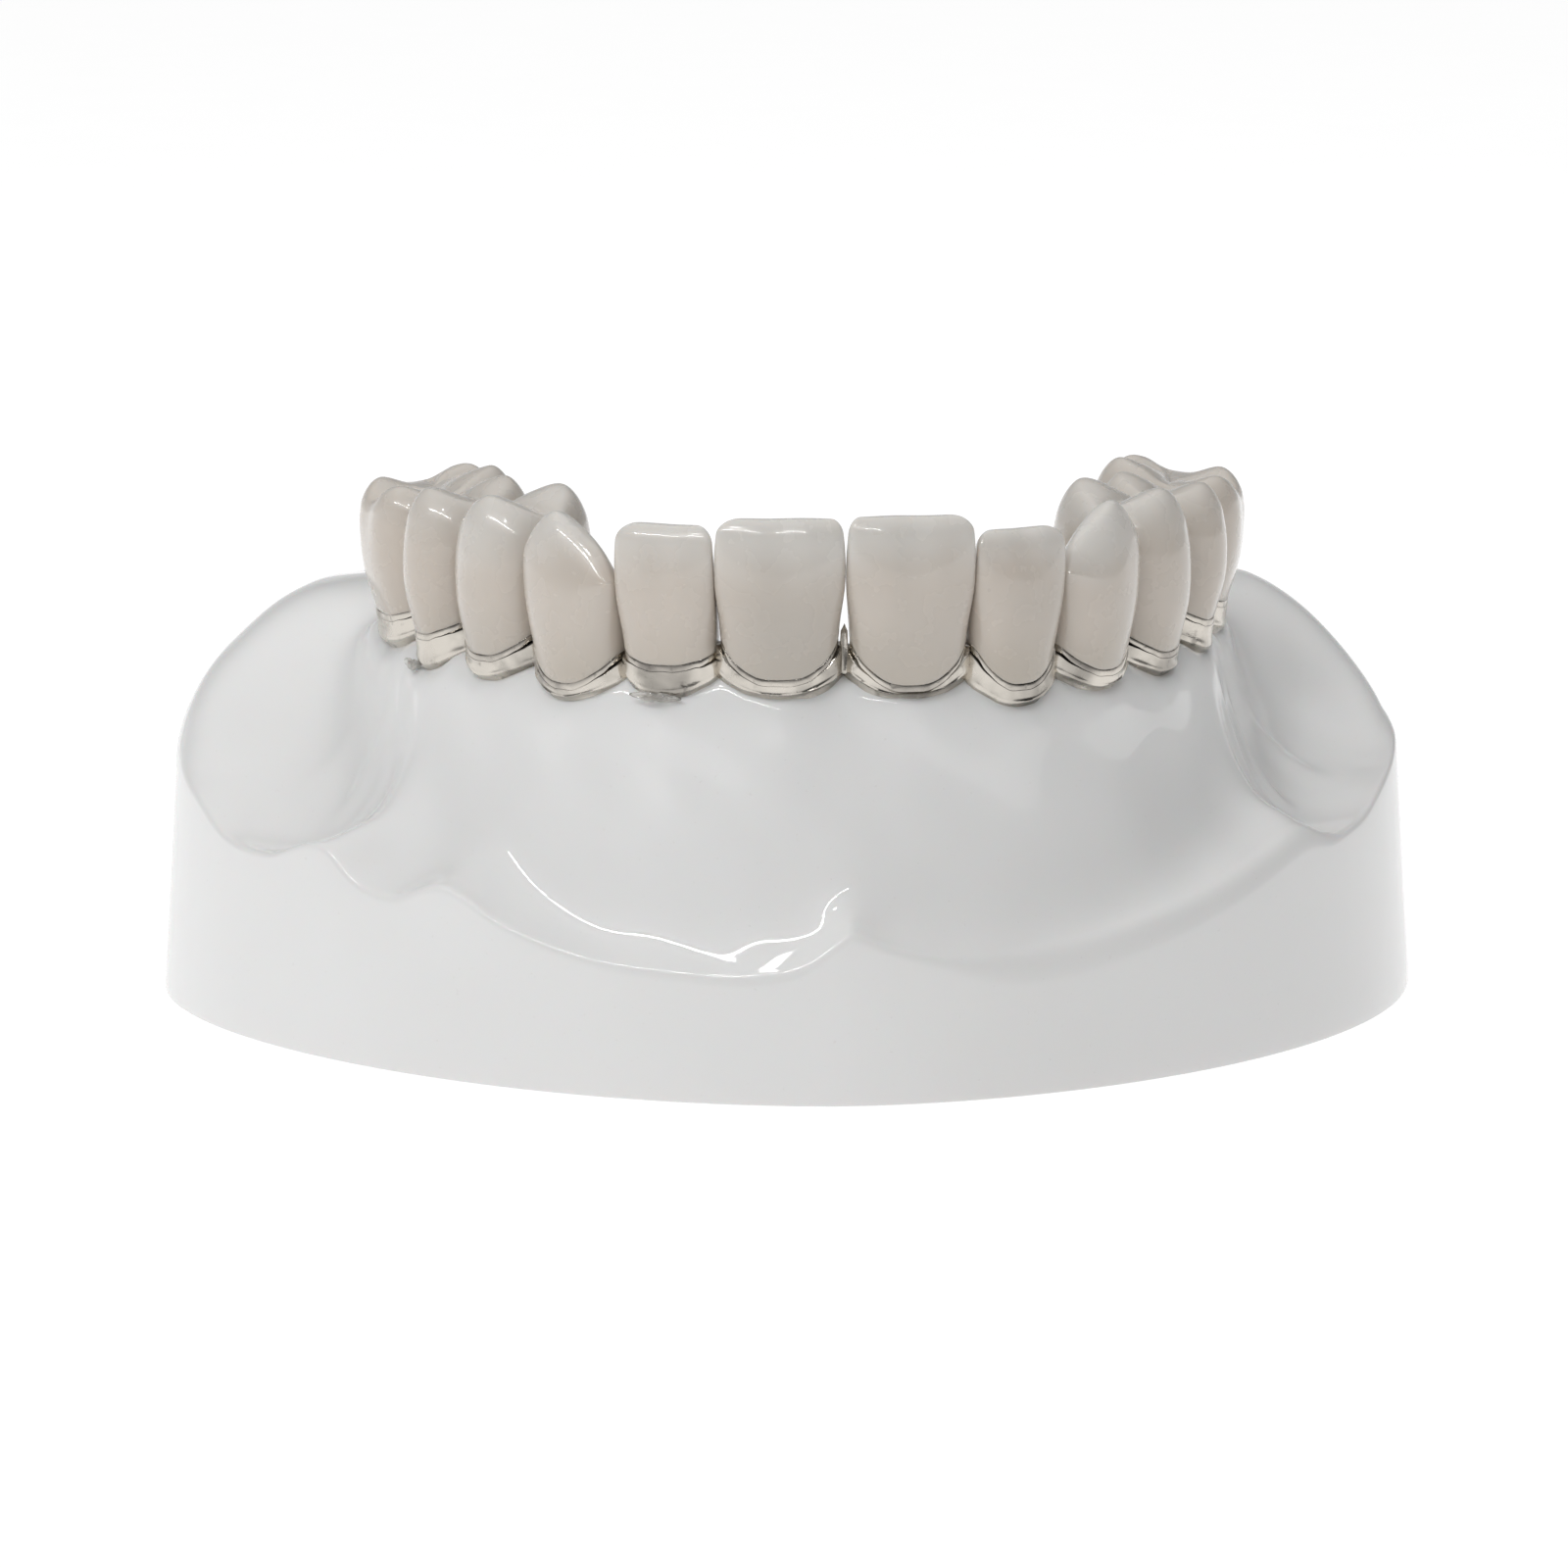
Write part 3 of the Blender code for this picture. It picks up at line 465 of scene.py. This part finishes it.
def ridge_edges(at):
    """The ridge's labial edge, that edge without its waists between the teeth, and its palatal edge."""
    labial, palatal = [], []
    for tooth in TEETH[: len(KINDS)]:
        number = tooth.number
        front = tooth.labial(0) + NECK_IN - GUM_SPREAD
        back = tooth.palatal(0) - NECK_IN + GUM_SPREAD
        labial.append((number + 0.5, *tooth.spot(0, front)))
        palatal.append((number + 0.5, *tooth.spot(0, back)))
        waist = tooth.spot(tooth.half_width + CONTACT_GAP / 2, tooth.form["bulge"] + GUM_WAIST)
        labial.append((number + 1.0, *waist))
    smooth = labial[0:-1:2] + REAR_LABIAL
    labial.insert(0, (0.0, 0.0, TEETH[0].face[1] + TEETH[0].form["bulge"] + GUM_WAIST))
    edges = []
    for knots in (labial + REAR_LABIAL, smooth, palatal + REAR_PALATAL):
        knots = [(-k, -x, y) for k, x, y in reversed(knots) if k > 0] + knots
        edges.append(np.column_stack([curve([(k, x) for k, x, _ in knots], at),
                                      curve([(k, y) for k, _, y in knots], at), ridge_height(at)]))
    return edges


def bezier(points, u):
    a, b, c, d = points
    return (1 - u) ** 3 * a + 3 * u * (1 - u) ** 2 * b + 3 * u * u * (1 - u) * c + u ** 3 * d


def base_grid():
    """Points of the base, by column along the arch and row up its section, and each row's place."""
    last = len(STATIONS) - 1
    at = np.linspace(-last, last, 2 * last * COLUMNS_PER_STATION + 1)
    angle = station_value(lambda s, sign: sign * s[0], at)
    rim_height = np.where(at < 0, curve(RIM_LEFT, np.abs(angle)), curve(RIM_RIGHT, np.abs(angle)))
    rim = outline_point(angle, rim_height)
    labial, smooth, palatal = ridge_edges(at)
    midline = np.column_stack([np.zeros(len(at)), station_value(lambda s, sign: s[1][0], at),
                               station_value(lambda s, sign: s[1][1], at)])
    controls = [rim]
    folds = [(np.exp(-(((at - where) / width) ** 2)), out, up) for where, width, out, up in FRENA]
    for k in (2, 3):
        share = station_value(lambda s, sign: s[k][0], at) - sum(near * out for near, out, _ in folds)
        height = station_value(lambda s, sign: s[k][1], at) + sum(near * up for near, _, up in folds)
        inner = rim + (smooth - rim) * share[:, None]
        controls.append(np.column_stack([inner[:, :2], np.maximum(height, rim_height - 0.6)]))
    controls.append(labial)
    soft = smoothstep(6, 18, angle) * (1 - smoothstep(50, 62, angle))
    rim_round = RIM_ROUND + (SOFT_RIM_ROUND - RIM_ROUND) * soft
    first = (0.035 + 0.075 * soft)[:, None]
    rows, zone = [], []
    rows.append(outline_point(angle, 0.0, FOOT_ROUND))
    rows.append(outline_point(angle, 0.08, 0.09))
    zone += [0.0, 0.0]
    for share in np.linspace(0, 1, 10):
        rows.append(outline_point(angle, FOOT_ROUND + (rim_height - rim_round - FOOT_ROUND) * share))
        zone.append(0.0)
    start, end = rows[-1], bezier(controls, first)
    for t in (0.2, 0.4, 0.6, 0.8):
        rows.append((1 - t) ** 2 * start + 2 * t * (1 - t) * rim + t * t * end)
        zone.append(0.5)
    for share in np.linspace(0, 1, 60):
        rows.append(bezier(controls, first + (1 - first) * share))
        zone.append(1 + 0.035 + 0.965 * share)
    for share in np.linspace(0, 1, 15)[1:]:
        rows.append(labial + (palatal - labial) * share)
        zone.append(2 + share)
    foot = palatal + (midline - palatal) * 0.35
    ridge = palatal[:, 2]
    slope = [palatal, np.column_stack([foot[:, :2], midline[:, 2] + 0.45 * (ridge - midline[:, 2])]),
             midline + (palatal - midline) * 0.45 * [1, 1, 0], midline]
    for u in np.linspace(0, 1, 45)[1:]:
        rows.append(bezier(slope, u))
        zone.append(3 + u)
    return at, np.stack(rows, axis=1), np.array(zone)


def soften(grid, at, zone):
    """Evens out the gum below the teeth, then rounds the ridge's two edges and its crest at the back."""
    gum = smoothstep(1.15, 1.5, zone) * (1 - 0.7 * smoothstep(1.94, 2.0, zone)) * (zone <= 2.0)
    gum = gum[None, :, None]
    for step in range(70):
        grid[1:-1] += 0.5 * gum * ((grid[2:] + grid[:-2]) / 2 - grid[1:-1])
    edge = np.exp(-(((zone - 2.0) / 0.10) ** 2)) + np.exp(-(((zone - 3.0) / 0.10) ** 2))
    crest = smoothstep(1.75, 1.95, zone) * (1 - smoothstep(3.1, 3.3, zone))
    behind = smoothstep(TEETH_STATIONS - 0.1, TEETH_STATIONS + 0.7, np.abs(at))
    for step in range(150):
        weight = np.clip(edge, 0, 1)[None, :] * (1.0 if step < 14 else 0.0)
        weight = np.maximum(weight, crest[None, :] * behind[:, None])[:, 1:-1, None]
        grid[:, 1:-1] += 0.5 * weight * ((grid[:, 2:] + grid[:, :-2]) / 2 - grid[:, 1:-1])
    return grid


def grid_normals(grid):
    along = np.gradient(grid, axis=0)
    across = np.gradient(grid, axis=1)
    normal = np.cross(along, across)
    return normal / np.maximum(np.linalg.norm(normal, axis=2, keepdims=True), 1e-9)


def make_base(material):
    at, grid, zone = base_grid()
    grid = soften(grid, at, zone)
    normal = grid_normals(grid)
    if (normal[len(at) // 4, :20] * (grid[len(at) // 4, :20] - [0, OUTLINE_CENTRE_Y, 10])).sum() < 0:
        normal = -normal
    x, y, z = grid[..., 0], grid[..., 1], grid[..., 2]
    level, place = np.meshgrid(zone, at)
    cast = smoothstep(1.0, 1.15, level)
    hand = 0.07 * np.sin(0.34 * x + 1.3) * np.sin(0.29 * y + 0.42 * z + 0.4)
    hand = hand + 0.035 * np.sin(0.83 * x + 0.5 * z + 2.1) * np.sin(0.71 * z - 0.6 * y + 0.7)
    push = hand * cast * (1 - 0.6 * smoothstep(1.9, 2.0, level))
    for where, width, low, high, height in FOLDS:
        span = smoothstep(low, low + 0.25, level - 1) * (1 - smoothstep(high - 0.2, high, level - 1))
        push = push + height * np.exp(-(((place - where) / width) ** 2)) * span
    for centre, reach, depth in HOLLOWS:
        away = sum(((a - c) / r) ** 2 for a, c, r in zip((x, y, z), centre, reach))
        push = push - depth * np.exp(-away) * cast
    fleshy = smoothstep(1.90, 1.97, level) * (1 - smoothstep(3.0, 3.1, level))
    teeth = 1 - smoothstep(TEETH_STATIONS, TEETH_STATIONS + 0.4, np.abs(place))
    push = push + 0.03 * fleshy * teeth * np.sin(2.1 * x + 1.0) * np.sin(1.9 * y + 1.2 * z)
    palate = smoothstep(3.0, 3.2, level)
    for middle, height in RUGAE:
        line = y - middle - 0.22 * np.abs(x) - 0.35 * np.sin(0.9 * np.abs(x) + middle)
        window = smoothstep(0.8, 2.0, np.abs(x)) * (1 - smoothstep(7.0, 10.5, np.abs(x)))
        push = push + height * palate * window * np.exp(-((line / 0.75) ** 2))
    papilla = np.exp(-((x / 1.5) ** 2) - (((y - 10.2) / 2.2) ** 2))
    push = push + palate * (0.7 * papilla + 0.18 * np.exp(-((x / 0.8) ** 2)) * smoothstep(13, 18, y))
    grid = grid + normal * push[..., None]
    grid[..., 1] = np.minimum(grid[..., 1], HEEL_Y - 0.3)
    grid[:, -1, 0] = 0.0
    half = len(at) // 2
    grid[half + 1:, -1] = grid[:half, -1][::-1]
    columns, count = grid.shape[:2]
    points = grid.reshape(-1, 3).tolist()
    faces = []
    for i in range(columns - 1):
        for j in range(count - 1):
            a = i * count + j
            faces.append([a, a + count, a + count + 1, a + 1])
    faces.append([i * count for i in range(columns)])
    left = list(range(count))
    right = [(columns - 1) * count + j for j in range(count - 1)][::-1]
    ring = left + right
    inner = []
    for index in ring:
        px, _, pz = points[index]
        inner.append(len(points))
        points.append([px * 0.993, HEEL_Y, pz + (12.0 - pz) * 0.025])
    for k in range(len(ring)):
        after = (k + 1) % len(ring)
        faces.append([ring[k], ring[after], inner[after], inner[k]])
    faces.append(inner)
    base = add_object("arch_cast", points, faces, 40)
    base.data.materials.append(material)
    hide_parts("model_base")
    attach(base, "model")
    return base


def make_midline_web(material):
    """The sliver of cast metal that stands up in the notch between the two central crowns."""
    front = TEETH[0].face[1] + TEETH[0].labial(0)
    around = np.linspace(0, 2 * math.pi, 32, endpoint=False)
    rings = []
    for share in np.linspace(0, 1, 16):
        wide = WEB_HALF_WIDTH * (1 - 0.45 * share) * (1 - 0.9 * smoothstep(0.85, 1.0, share))
        deep = WEB_HALF_DEPTH * (1 - 0.25 * share) * (1 - 0.9 * smoothstep(0.9, 1.0, share))
        ragged = 1 + 0.08 * np.sin(3 * around + 5 * share) + 0.05 * np.sin(7 * around - 9 * share)
        narrow = 0.75 - 0.25 * np.sin(around)
        rings.append(np.column_stack([0.03 * math.sin(7 * share) + wide * narrow * ragged * np.cos(around),
                                      front + WEB_BEHIND_FACE + 0.1 * share + deep * ragged * np.sin(around),
                                      np.full(len(around), WEB_FOOT + (WEB_TOP - WEB_FOOT) * share)]))
    points, faces = loft(rings)
    web = add_object("metal_web_midline", points, faces)
    web.data.materials.append(material)
    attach(web, "model")
    return web


def make_flake(name, tooth, x, out, size, material, seed):
    """A thin uneven scale of clear adhesive at the foot of a die."""
    rings = []
    around = np.linspace(0, 2 * math.pi, 28, endpoint=False)
    ragged = 1 + 0.22 * np.sin(3 * around + seed) + 0.12 * np.sin(7 * around + 2 * seed)
    for angle in np.linspace(-80, 80, 13):
        reach = math.cos(math.radians(angle)) ** 0.7
        lift = math.sin(math.radians(angle)) * size[2]
        rings.append((x + size[0] * reach * ragged * np.cos(around),
                      tooth.labial(0) + NECK_IN - out + size[1] * reach * ragged * np.sin(around),
                      tooth.gum + 0.05 + lift + 0.10 * np.sin(2 * around + seed)))
    points, faces = loft([tooth.world(ring) for ring in rings])
    flake = add_object(name, points, faces)
    flake.data.materials.append(material)
    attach(flake, "model")
    return flake


# ---------------------------------------------------------------- materials
class Nodes:
    """Short names for building one material's nodes."""

    def __init__(self, name):
        self.material = bpy.data.materials.new(name)
        self.material.use_nodes = True
        self.tree = self.material.node_tree
        self.shader = self.tree.nodes["Principled BSDF"]
        self.place = self.add("ShaderNodeTexCoord").outputs["Object"]

    def add(self, kind, **values):
        node = self.tree.nodes.new(kind)
        for key, value in values.items():
            setattr(node, key, value)
        return node

    def link(self, source, target):
        self.tree.links.new(source, target)

    def set(self, **values):
        for key, value in values.items():
            self.shader.inputs[key.replace("_", " ")].default_value = value

    def noise(self, scale, detail=2.0, rough=0.5, distortion=0.0, stretch=None):
        node = self.add("ShaderNodeTexNoise")
        node.inputs["Scale"].default_value = scale
        node.inputs["Detail"].default_value = detail
        node.inputs["Roughness"].default_value = rough
        node.inputs["Distortion"].default_value = distortion
        source = self.place
        if stretch:
            mapping = self.add("ShaderNodeMapping")
            mapping.inputs["Scale"].default_value = stretch
            self.link(self.place, mapping.inputs["Vector"])
            source = mapping.outputs["Vector"]
        self.link(source, node.inputs["Vector"])
        return node.outputs["Fac"]

    def spread(self, source, low, high, new_low=0.0, new_high=1.0, smooth=True):
        node = self.add("ShaderNodeMapRange")
        node.interpolation_type = "SMOOTHSTEP" if smooth else "LINEAR"
        for key, value in (("From Min", low), ("From Max", high), ("To Min", new_low), ("To Max", new_high)):
            node.inputs[key].default_value = value
        self.link(source, node.inputs["Value"])
        return node.outputs["Result"]

    def near(self, spot, reach, strength):
        """Strength at a spot in millimetres, fading out to nothing at its reach."""
        node = self.add("ShaderNodeVectorMath", operation="DISTANCE")
        node.inputs[1].default_value = ((spot[0] - ORIGIN_X) * MM, (spot[1] - ORIGIN_Y) * MM, spot[2] * MM)
        self.link(self.place, node.inputs[0])
        return self.spread(node.outputs["Value"], 0.0, reach * MM, strength, 0.0)

    def axis(self, name):
        node = self.add("ShaderNodeSeparateXYZ")
        self.link(self.place, node.inputs[0])
        return node.outputs[name]

    def maths(self, operation, a, b):
        node = self.add("ShaderNodeMath", operation=operation)
        for socket, value in zip(node.inputs, (a, b)):
            if isinstance(value, float):
                socket.default_value = value
            else:
                self.link(value, socket)
        return node.outputs[0]

    def mix(self, factor, a, b):
        node = self.add("ShaderNodeMix", data_type="RGBA")
        if isinstance(factor, float):
            node.inputs[0].default_value = factor
        else:
            self.link(factor, node.inputs[0])
        for socket, value in ((node.inputs[6], a), (node.inputs[7], b)):
            if isinstance(value, tuple):
                socket.default_value = (*value, 1.0)
            else:
                self.link(value, socket)
        return node.outputs[2]

    def bumps(self, *layers):
        """Height layers as (source, distance in metres), each on top of the one before."""
        normal = None
        for source, distance in layers:
            node = self.add("ShaderNodeBump")
            node.inputs["Strength"].default_value = 1.0
            node.inputs["Distance"].default_value = distance
            self.link(source, node.inputs["Height"])
            if normal:
                self.link(normal, node.inputs["Normal"])
            normal = node.outputs["Normal"]
        self.link(normal, self.shader.inputs["Normal"])


def resin_material():
    """Glossy white casting resin: faint clouding, a dusting of pinholes and a soft polish."""
    n = Nodes("white_resin")
    clouds = n.spread(n.noise(60.0, 3.0, 0.5), 0.25, 0.75)
    tone = n.mix(clouds, (0.792, 0.792, 0.786), (0.818, 0.819, 0.815))
    warm = n.spread(n.noise(22.0, 2.0), 0.45, 0.75, 0.0, 0.30)
    tone = n.mix(warm, tone, (0.806, 0.800, 0.786))
    specks = n.spread(n.noise(4200.0, 1.0, 0.4), 0.74, 0.80)
    tone = n.mix(n.maths("MULTIPLY", specks, 0.18), tone, (0.60, 0.58, 0.55))
    n.link(tone, n.shader.inputs["Base Color"])
    rough = n.spread(n.noise(120.0, 4.0, 0.6), 0.25, 0.8, 0.34, 0.46)
    n.link(rough, n.shader.inputs["Roughness"])
    n.set(Coat_Weight=0.95, Coat_Roughness=0.03, Coat_IOR=1.45, IOR=1.45,
          Subsurface_Weight=0.06, Subsurface_Scale=0.002)
    n.bumps((n.noise(85.0, 2.0), 0.00008), (n.noise(420.0, 2.0), 0.000010), (specks, -0.000008))
    return n.material


# Porcelain colours. The shade colour is painted shade at the crown necks and between crowns; the back teeth
# colour is painted shade, darker and warmer, standing in for light bounced among the teeth.
PORCELAIN = {
    "neck": (0.500, 0.445, 0.375), "body": (0.600, 0.537, 0.472), "edge": (0.705, 0.685, 0.650),
    "back_teeth_painted_shade": (0.545, 0.475, 0.405), "stain": (0.490, 0.455, 0.405), "streak": (0.700, 0.660, 0.600),
    "shade": (0.430, 0.400, 0.355),
}


def porcelain_material():
    """Fired porcelain: warm at the neck, ivory in the body, greyer and clearer at the biting edge; painted
    shade on the necks, at the contacts and on the back teeth.
    """
    n = Nodes("porcelain")
    level = n.maths("ADD", n.axis("Z"), n.spread(n.noise(130.0, 1.0), 0.2, 0.8, -0.0012, 0.0012, False))
    body = n.mix(n.spread(level, 0.0255, 0.0300), PORCELAIN["neck"], PORCELAIN["body"])
    body = n.mix(n.spread(level, 0.0315, 0.0358), body, PORCELAIN["edge"])
    # Painted shade: the back teeth darker and warmer, standing in for light bounced among the teeth.
    body = n.mix(n.spread(n.axis("Y"), -0.019, 0.002, 0.0, 0.5), body, PORCELAIN["back_teeth_painted_shade"])
    stains = n.spread(n.noise(75.0, 1.0, 0.4, 0.0, (1.0, 1.0, 0.6)), 0.25, 0.80)
    body = n.mix(n.maths("MULTIPLY", stains, 0.18), body, PORCELAIN["stain"])
    streaks = n.spread(n.noise(240.0, 0.0, 0.4, 0.0, (1.0, 1.0, 0.22)), 0.20, 0.90)
    body = n.mix(n.maths("MULTIPLY", streaks, 0.05), body, PORCELAIN["streak"])
    # Painted shade: greyer, darker patches at the crown necks and next to the contacts between crowns.
    for spot, reach, depth in PAINTED_SHADE_SPOTS:
        body = n.mix(n.near(spot, reach, depth), body, PORCELAIN["shade"])
    n.link(body, n.shader.inputs["Base Color"])
    rough = n.spread(n.noise(500.0, 3.0), 0.30, 0.7, 0.24, 0.30)
    n.link(rough, n.shader.inputs["Roughness"])
    n.set(IOR=1.52, Coat_Weight=0.85, Coat_Roughness=0.04, Coat_IOR=1.5,
          Subsurface_Weight=0.15, Subsurface_Scale=0.0014)
    n.shader.inputs["Subsurface Radius"].default_value = (1.0, 0.72, 0.50)
    n.bumps((n.noise(190.0, 1.0), 0.00004), (n.noise(700.0, 2.0, 0.5, 0.0, (0.5, 0.5, 2.2)), 0.000008))
    return n.material


def metal_material(name, bright, dull, rough_low, rough_high, stain):
    """Cast dental alloy: rubbed bright in places, grey oxide and pits in others."""
    n = Nodes(name)
    patches = n.spread(n.noise(300.0, 3.0, 0.5, 0.4), 0.38, 0.74)
    tone = n.mix(patches, bright, dull)
    marks = n.spread(n.noise(1100.0, 3.0, 0.55, 0.3), 0.60, 0.78)
    tone = n.mix(n.maths("MULTIPLY", marks, stain), tone, (0.10, 0.09, 0.08))
    n.link(tone, n.shader.inputs["Base Color"])
    n.link(n.spread(n.noise(620.0, 3.0), 0.35, 0.7, rough_low, rough_high), n.shader.inputs["Roughness"])
    n.set(Metallic=1.0)
    n.bumps((n.noise(300.0, 2.0), 0.00010), (n.noise(1100.0, 2.0, 0.5), 0.000015), (marks, -0.00001))
    return n.material


def adhesive_material():
    n = Nodes("clear_adhesive")
    cloud = n.spread(n.noise(900.0, 3.0), 0.35, 0.7)
    n.link(n.mix(cloud, (0.86, 0.85, 0.82), (0.62, 0.60, 0.56)), n.shader.inputs["Base Color"])
    n.link(n.spread(cloud, 0.0, 1.0, 0.06, 0.24), n.shader.inputs["Roughness"])
    n.set(IOR=1.48, Transmission_Weight=0.75, Coat_Weight=0.3, Coat_Roughness=0.04)
    n.bumps((n.noise(1400.0, 2.0), 0.00010),)
    return n.material


def floor_material():
    n = Nodes("paper_floor")
    grain = n.spread(n.noise(60.0, 3.0), 0.3, 0.7)
    n.link(n.mix(grain, (0.17, 0.17, 0.17), (0.18, 0.18, 0.18)), n.shader.inputs["Base Color"])
    n.set(Roughness=0.95, Emission_Strength=0.90, Specular_IOR_Level=0.1)
    n.shader.inputs["Emission Color"].default_value = (1.0, 1.0, 1.0, 1.0)
    return n.material


# ---------------------------------------------------------------- camera, floor and lights
CAMERA_AZIMUTH, CAMERA_ELEVATION = -4.96, 9.62
CAMERA_DISTANCE = 0.45
CAMERA_TARGET = (-2.21, 20.0, 16.45)
LENS, SENSOR = 157.3, 36.0
FLOOR_REACH = 3.0
FLOOR_CLEARANCE = 0.00005
LIT_SPOT = (0, 0, 0.02)
# Lights: (name, place, size, watts, whether the gloss mirrors it).
SOFTBOXES = [
    ("strip", (-0.34, -0.42, 0.52), (0.90, 0.010), 1.3, True),
    ("spot", (-0.26, -0.46, 0.66), (0.05, 0.05), 0.20, True),
    ("key", (-0.50, -0.25, 0.60), (0.50, 0.50), 0.7, False),
    ("top", (0.15, 0.05, 0.90), (0.9, 0.8), 3.1, False),
]
# The room: its glow on the bright and the dark side, the same at the horizon, and the ceiling's glow.
TOWARDS_DARK = (0.75, -0.66, 0.0)
SIDE_TO_SIDE = (-0.9, 0.9)
WALL_GLOW = (0.22, 0.03)
HORIZON_GLOW = (0.68, 0.26)
HORIZON_TOP = 0.32
CEILING_GLOW = 0.42
CEILING_FROM, CEILING_TO = 0.45, 0.95
BACKDROP_GLOW = 1.02


def point_at(thing, target):
    back = Vector(thing.location) - Vector(target)
    thing.rotation_euler = back.to_track_quat("Z", "Y").to_euler()


def make_camera():
    azimuth, elevation = math.radians(CAMERA_AZIMUTH), math.radians(CAMERA_ELEVATION)
    target = (Vector(CAMERA_TARGET) - Vector((ORIGIN_X, ORIGIN_Y, 0.0))) * MM
    back = Vector((math.sin(azimuth) * math.cos(elevation), -math.cos(azimuth) * math.cos(elevation),
                   math.sin(elevation)))
    data = bpy.data.cameras.new("camera")
    data.lens = LENS
    data.sensor_width = SENSOR
    data.clip_start = 0.01
    camera = bpy.data.objects.new("camera", data)
    camera.location = target + back * CAMERA_DISTANCE
    point_at(camera, target)
    bpy.context.scene.collection.objects.link(camera)
    bpy.context.scene.camera = camera


def make_floor(material):
    corners = [(x * FLOOR_REACH, y * FLOOR_REACH, 0) for x, y in ((-1, -1), (1, -1), (1, 1), (-1, 1))]
    mesh = bpy.data.meshes.new("floor")
    mesh.from_pydata(corners, [], [[0, 1, 2, 3]])
    floor = bpy.data.objects.new("floor", mesh)
    floor.location.z = -FLOOR_CLEARANCE
    floor.data.materials.append(material)
    bpy.context.scene.collection.objects.link(floor)


def make_softbox(name, location, size, watts, mirrored):
    """An area light; one that isn't mirrored lights the object without showing in its gloss."""
    data = bpy.data.lights.new(name, "AREA")
    data.shape = "RECTANGLE"
    data.size, data.size_y = size
    data.energy = watts
    light = bpy.data.objects.new(name, data)
    light.location = location
    light.visible_glossy = mirrored
    point_at(light, LIT_SPOT)
    bpy.context.scene.collection.objects.link(light)


def make_world():
    """White behind the object; for light and reflections a grey room, bright low down and overhead."""
    world = bpy.data.worlds.new("studio")
    bpy.context.scene.world = world
    world.use_nodes = True
    nodes, links = world.node_tree.nodes, world.node_tree.links
    nodes.clear()

    def ramp(source, low, high, start, end):
        node = nodes.new("ShaderNodeMapRange")
        node.interpolation_type = "SMOOTHSTEP"
        for key, value in (("From Min", low), ("From Max", high), ("To Min", start), ("To Max", end)):
            node.inputs[key].default_value = value
        links.new(source, node.inputs["Value"])
        return node.outputs["Result"]

    place = nodes.new("ShaderNodeTexCoord")
    split = nodes.new("ShaderNodeSeparateXYZ")
    links.new(place.outputs["Generated"], split.inputs[0])
    facing = nodes.new("ShaderNodeVectorMath")
    facing.operation = "DOT_PRODUCT"
    facing.inputs[1].default_value = TOWARDS_DARK
    links.new(place.outputs["Generated"], facing.inputs[0])
    across, up = facing.outputs["Value"], split.outputs["Z"]
    glow = nodes.new("ShaderNodeMix")
    links.new(ramp(up, 0.0, HORIZON_TOP, 1.0, 0.0), glow.inputs[0])
    links.new(ramp(across, *SIDE_TO_SIDE, *WALL_GLOW), glow.inputs[2])
    links.new(ramp(across, *SIDE_TO_SIDE, *HORIZON_GLOW), glow.inputs[3])
    total = nodes.new("ShaderNodeMath")
    total.operation = "ADD"
    links.new(glow.outputs[0], total.inputs[0])
    links.new(ramp(up, CEILING_FROM, CEILING_TO, 0.0, CEILING_GLOW), total.inputs[1])

    seen, room = nodes.new("ShaderNodeBackground"), nodes.new("ShaderNodeBackground")
    for background in (seen, room):
        background.inputs["Color"].default_value = (1.0, 1.0, 1.0, 1.0)
    seen.inputs["Strength"].default_value = BACKDROP_GLOW
    links.new(total.outputs[0], room.inputs["Strength"])
    path, pick = nodes.new("ShaderNodeLightPath"), nodes.new("ShaderNodeMixShader")
    links.new(path.outputs["Is Camera Ray"], pick.inputs[0])
    links.new(room.outputs[0], pick.inputs[1])
    links.new(seen.outputs[0], pick.inputs[2])
    links.new(pick.outputs[0], nodes.new("ShaderNodeOutputWorld").inputs["Surface"])


def main():
    make_camera()
    bpy.context.scene.view_settings.view_transform = "Standard"
    make_world()
    make_floor(floor_material())
    for softbox in SOFTBOXES:
        make_softbox(*softbox)
    resin, porcelain = resin_material(), porcelain_material()
    dies = metal_material("die_alloy", (0.66, 0.62, 0.56), (0.32, 0.30, 0.27), 0.16, 0.32, 0.5)
    caps = metal_material("coping_alloy", (0.64, 0.60, 0.54), (0.26, 0.24, 0.22), 0.16, 0.34, 0.7)
    adhesive = adhesive_material()
    make_base(resin)
    for tooth in TEETH:
        make_porcelain(tooth, porcelain)
        make_coping(tooth, caps)
        make_die(tooth, dies)
    make_midline_web(dies)
    left = {tooth.kind: tooth for tooth in TEETH if tooth.side == "left"}
    make_flake("adhesive_lateral_left", left["lateral"], 0.4, 0.35, (1.5, 0.35, 0.22), adhesive, 0.3)
    make_flake("adhesive_premolar_left", left["premolar_2"], 1.4, 0.25, (0.9, 0.3, 0.3), adhesive, 1.9)


main()
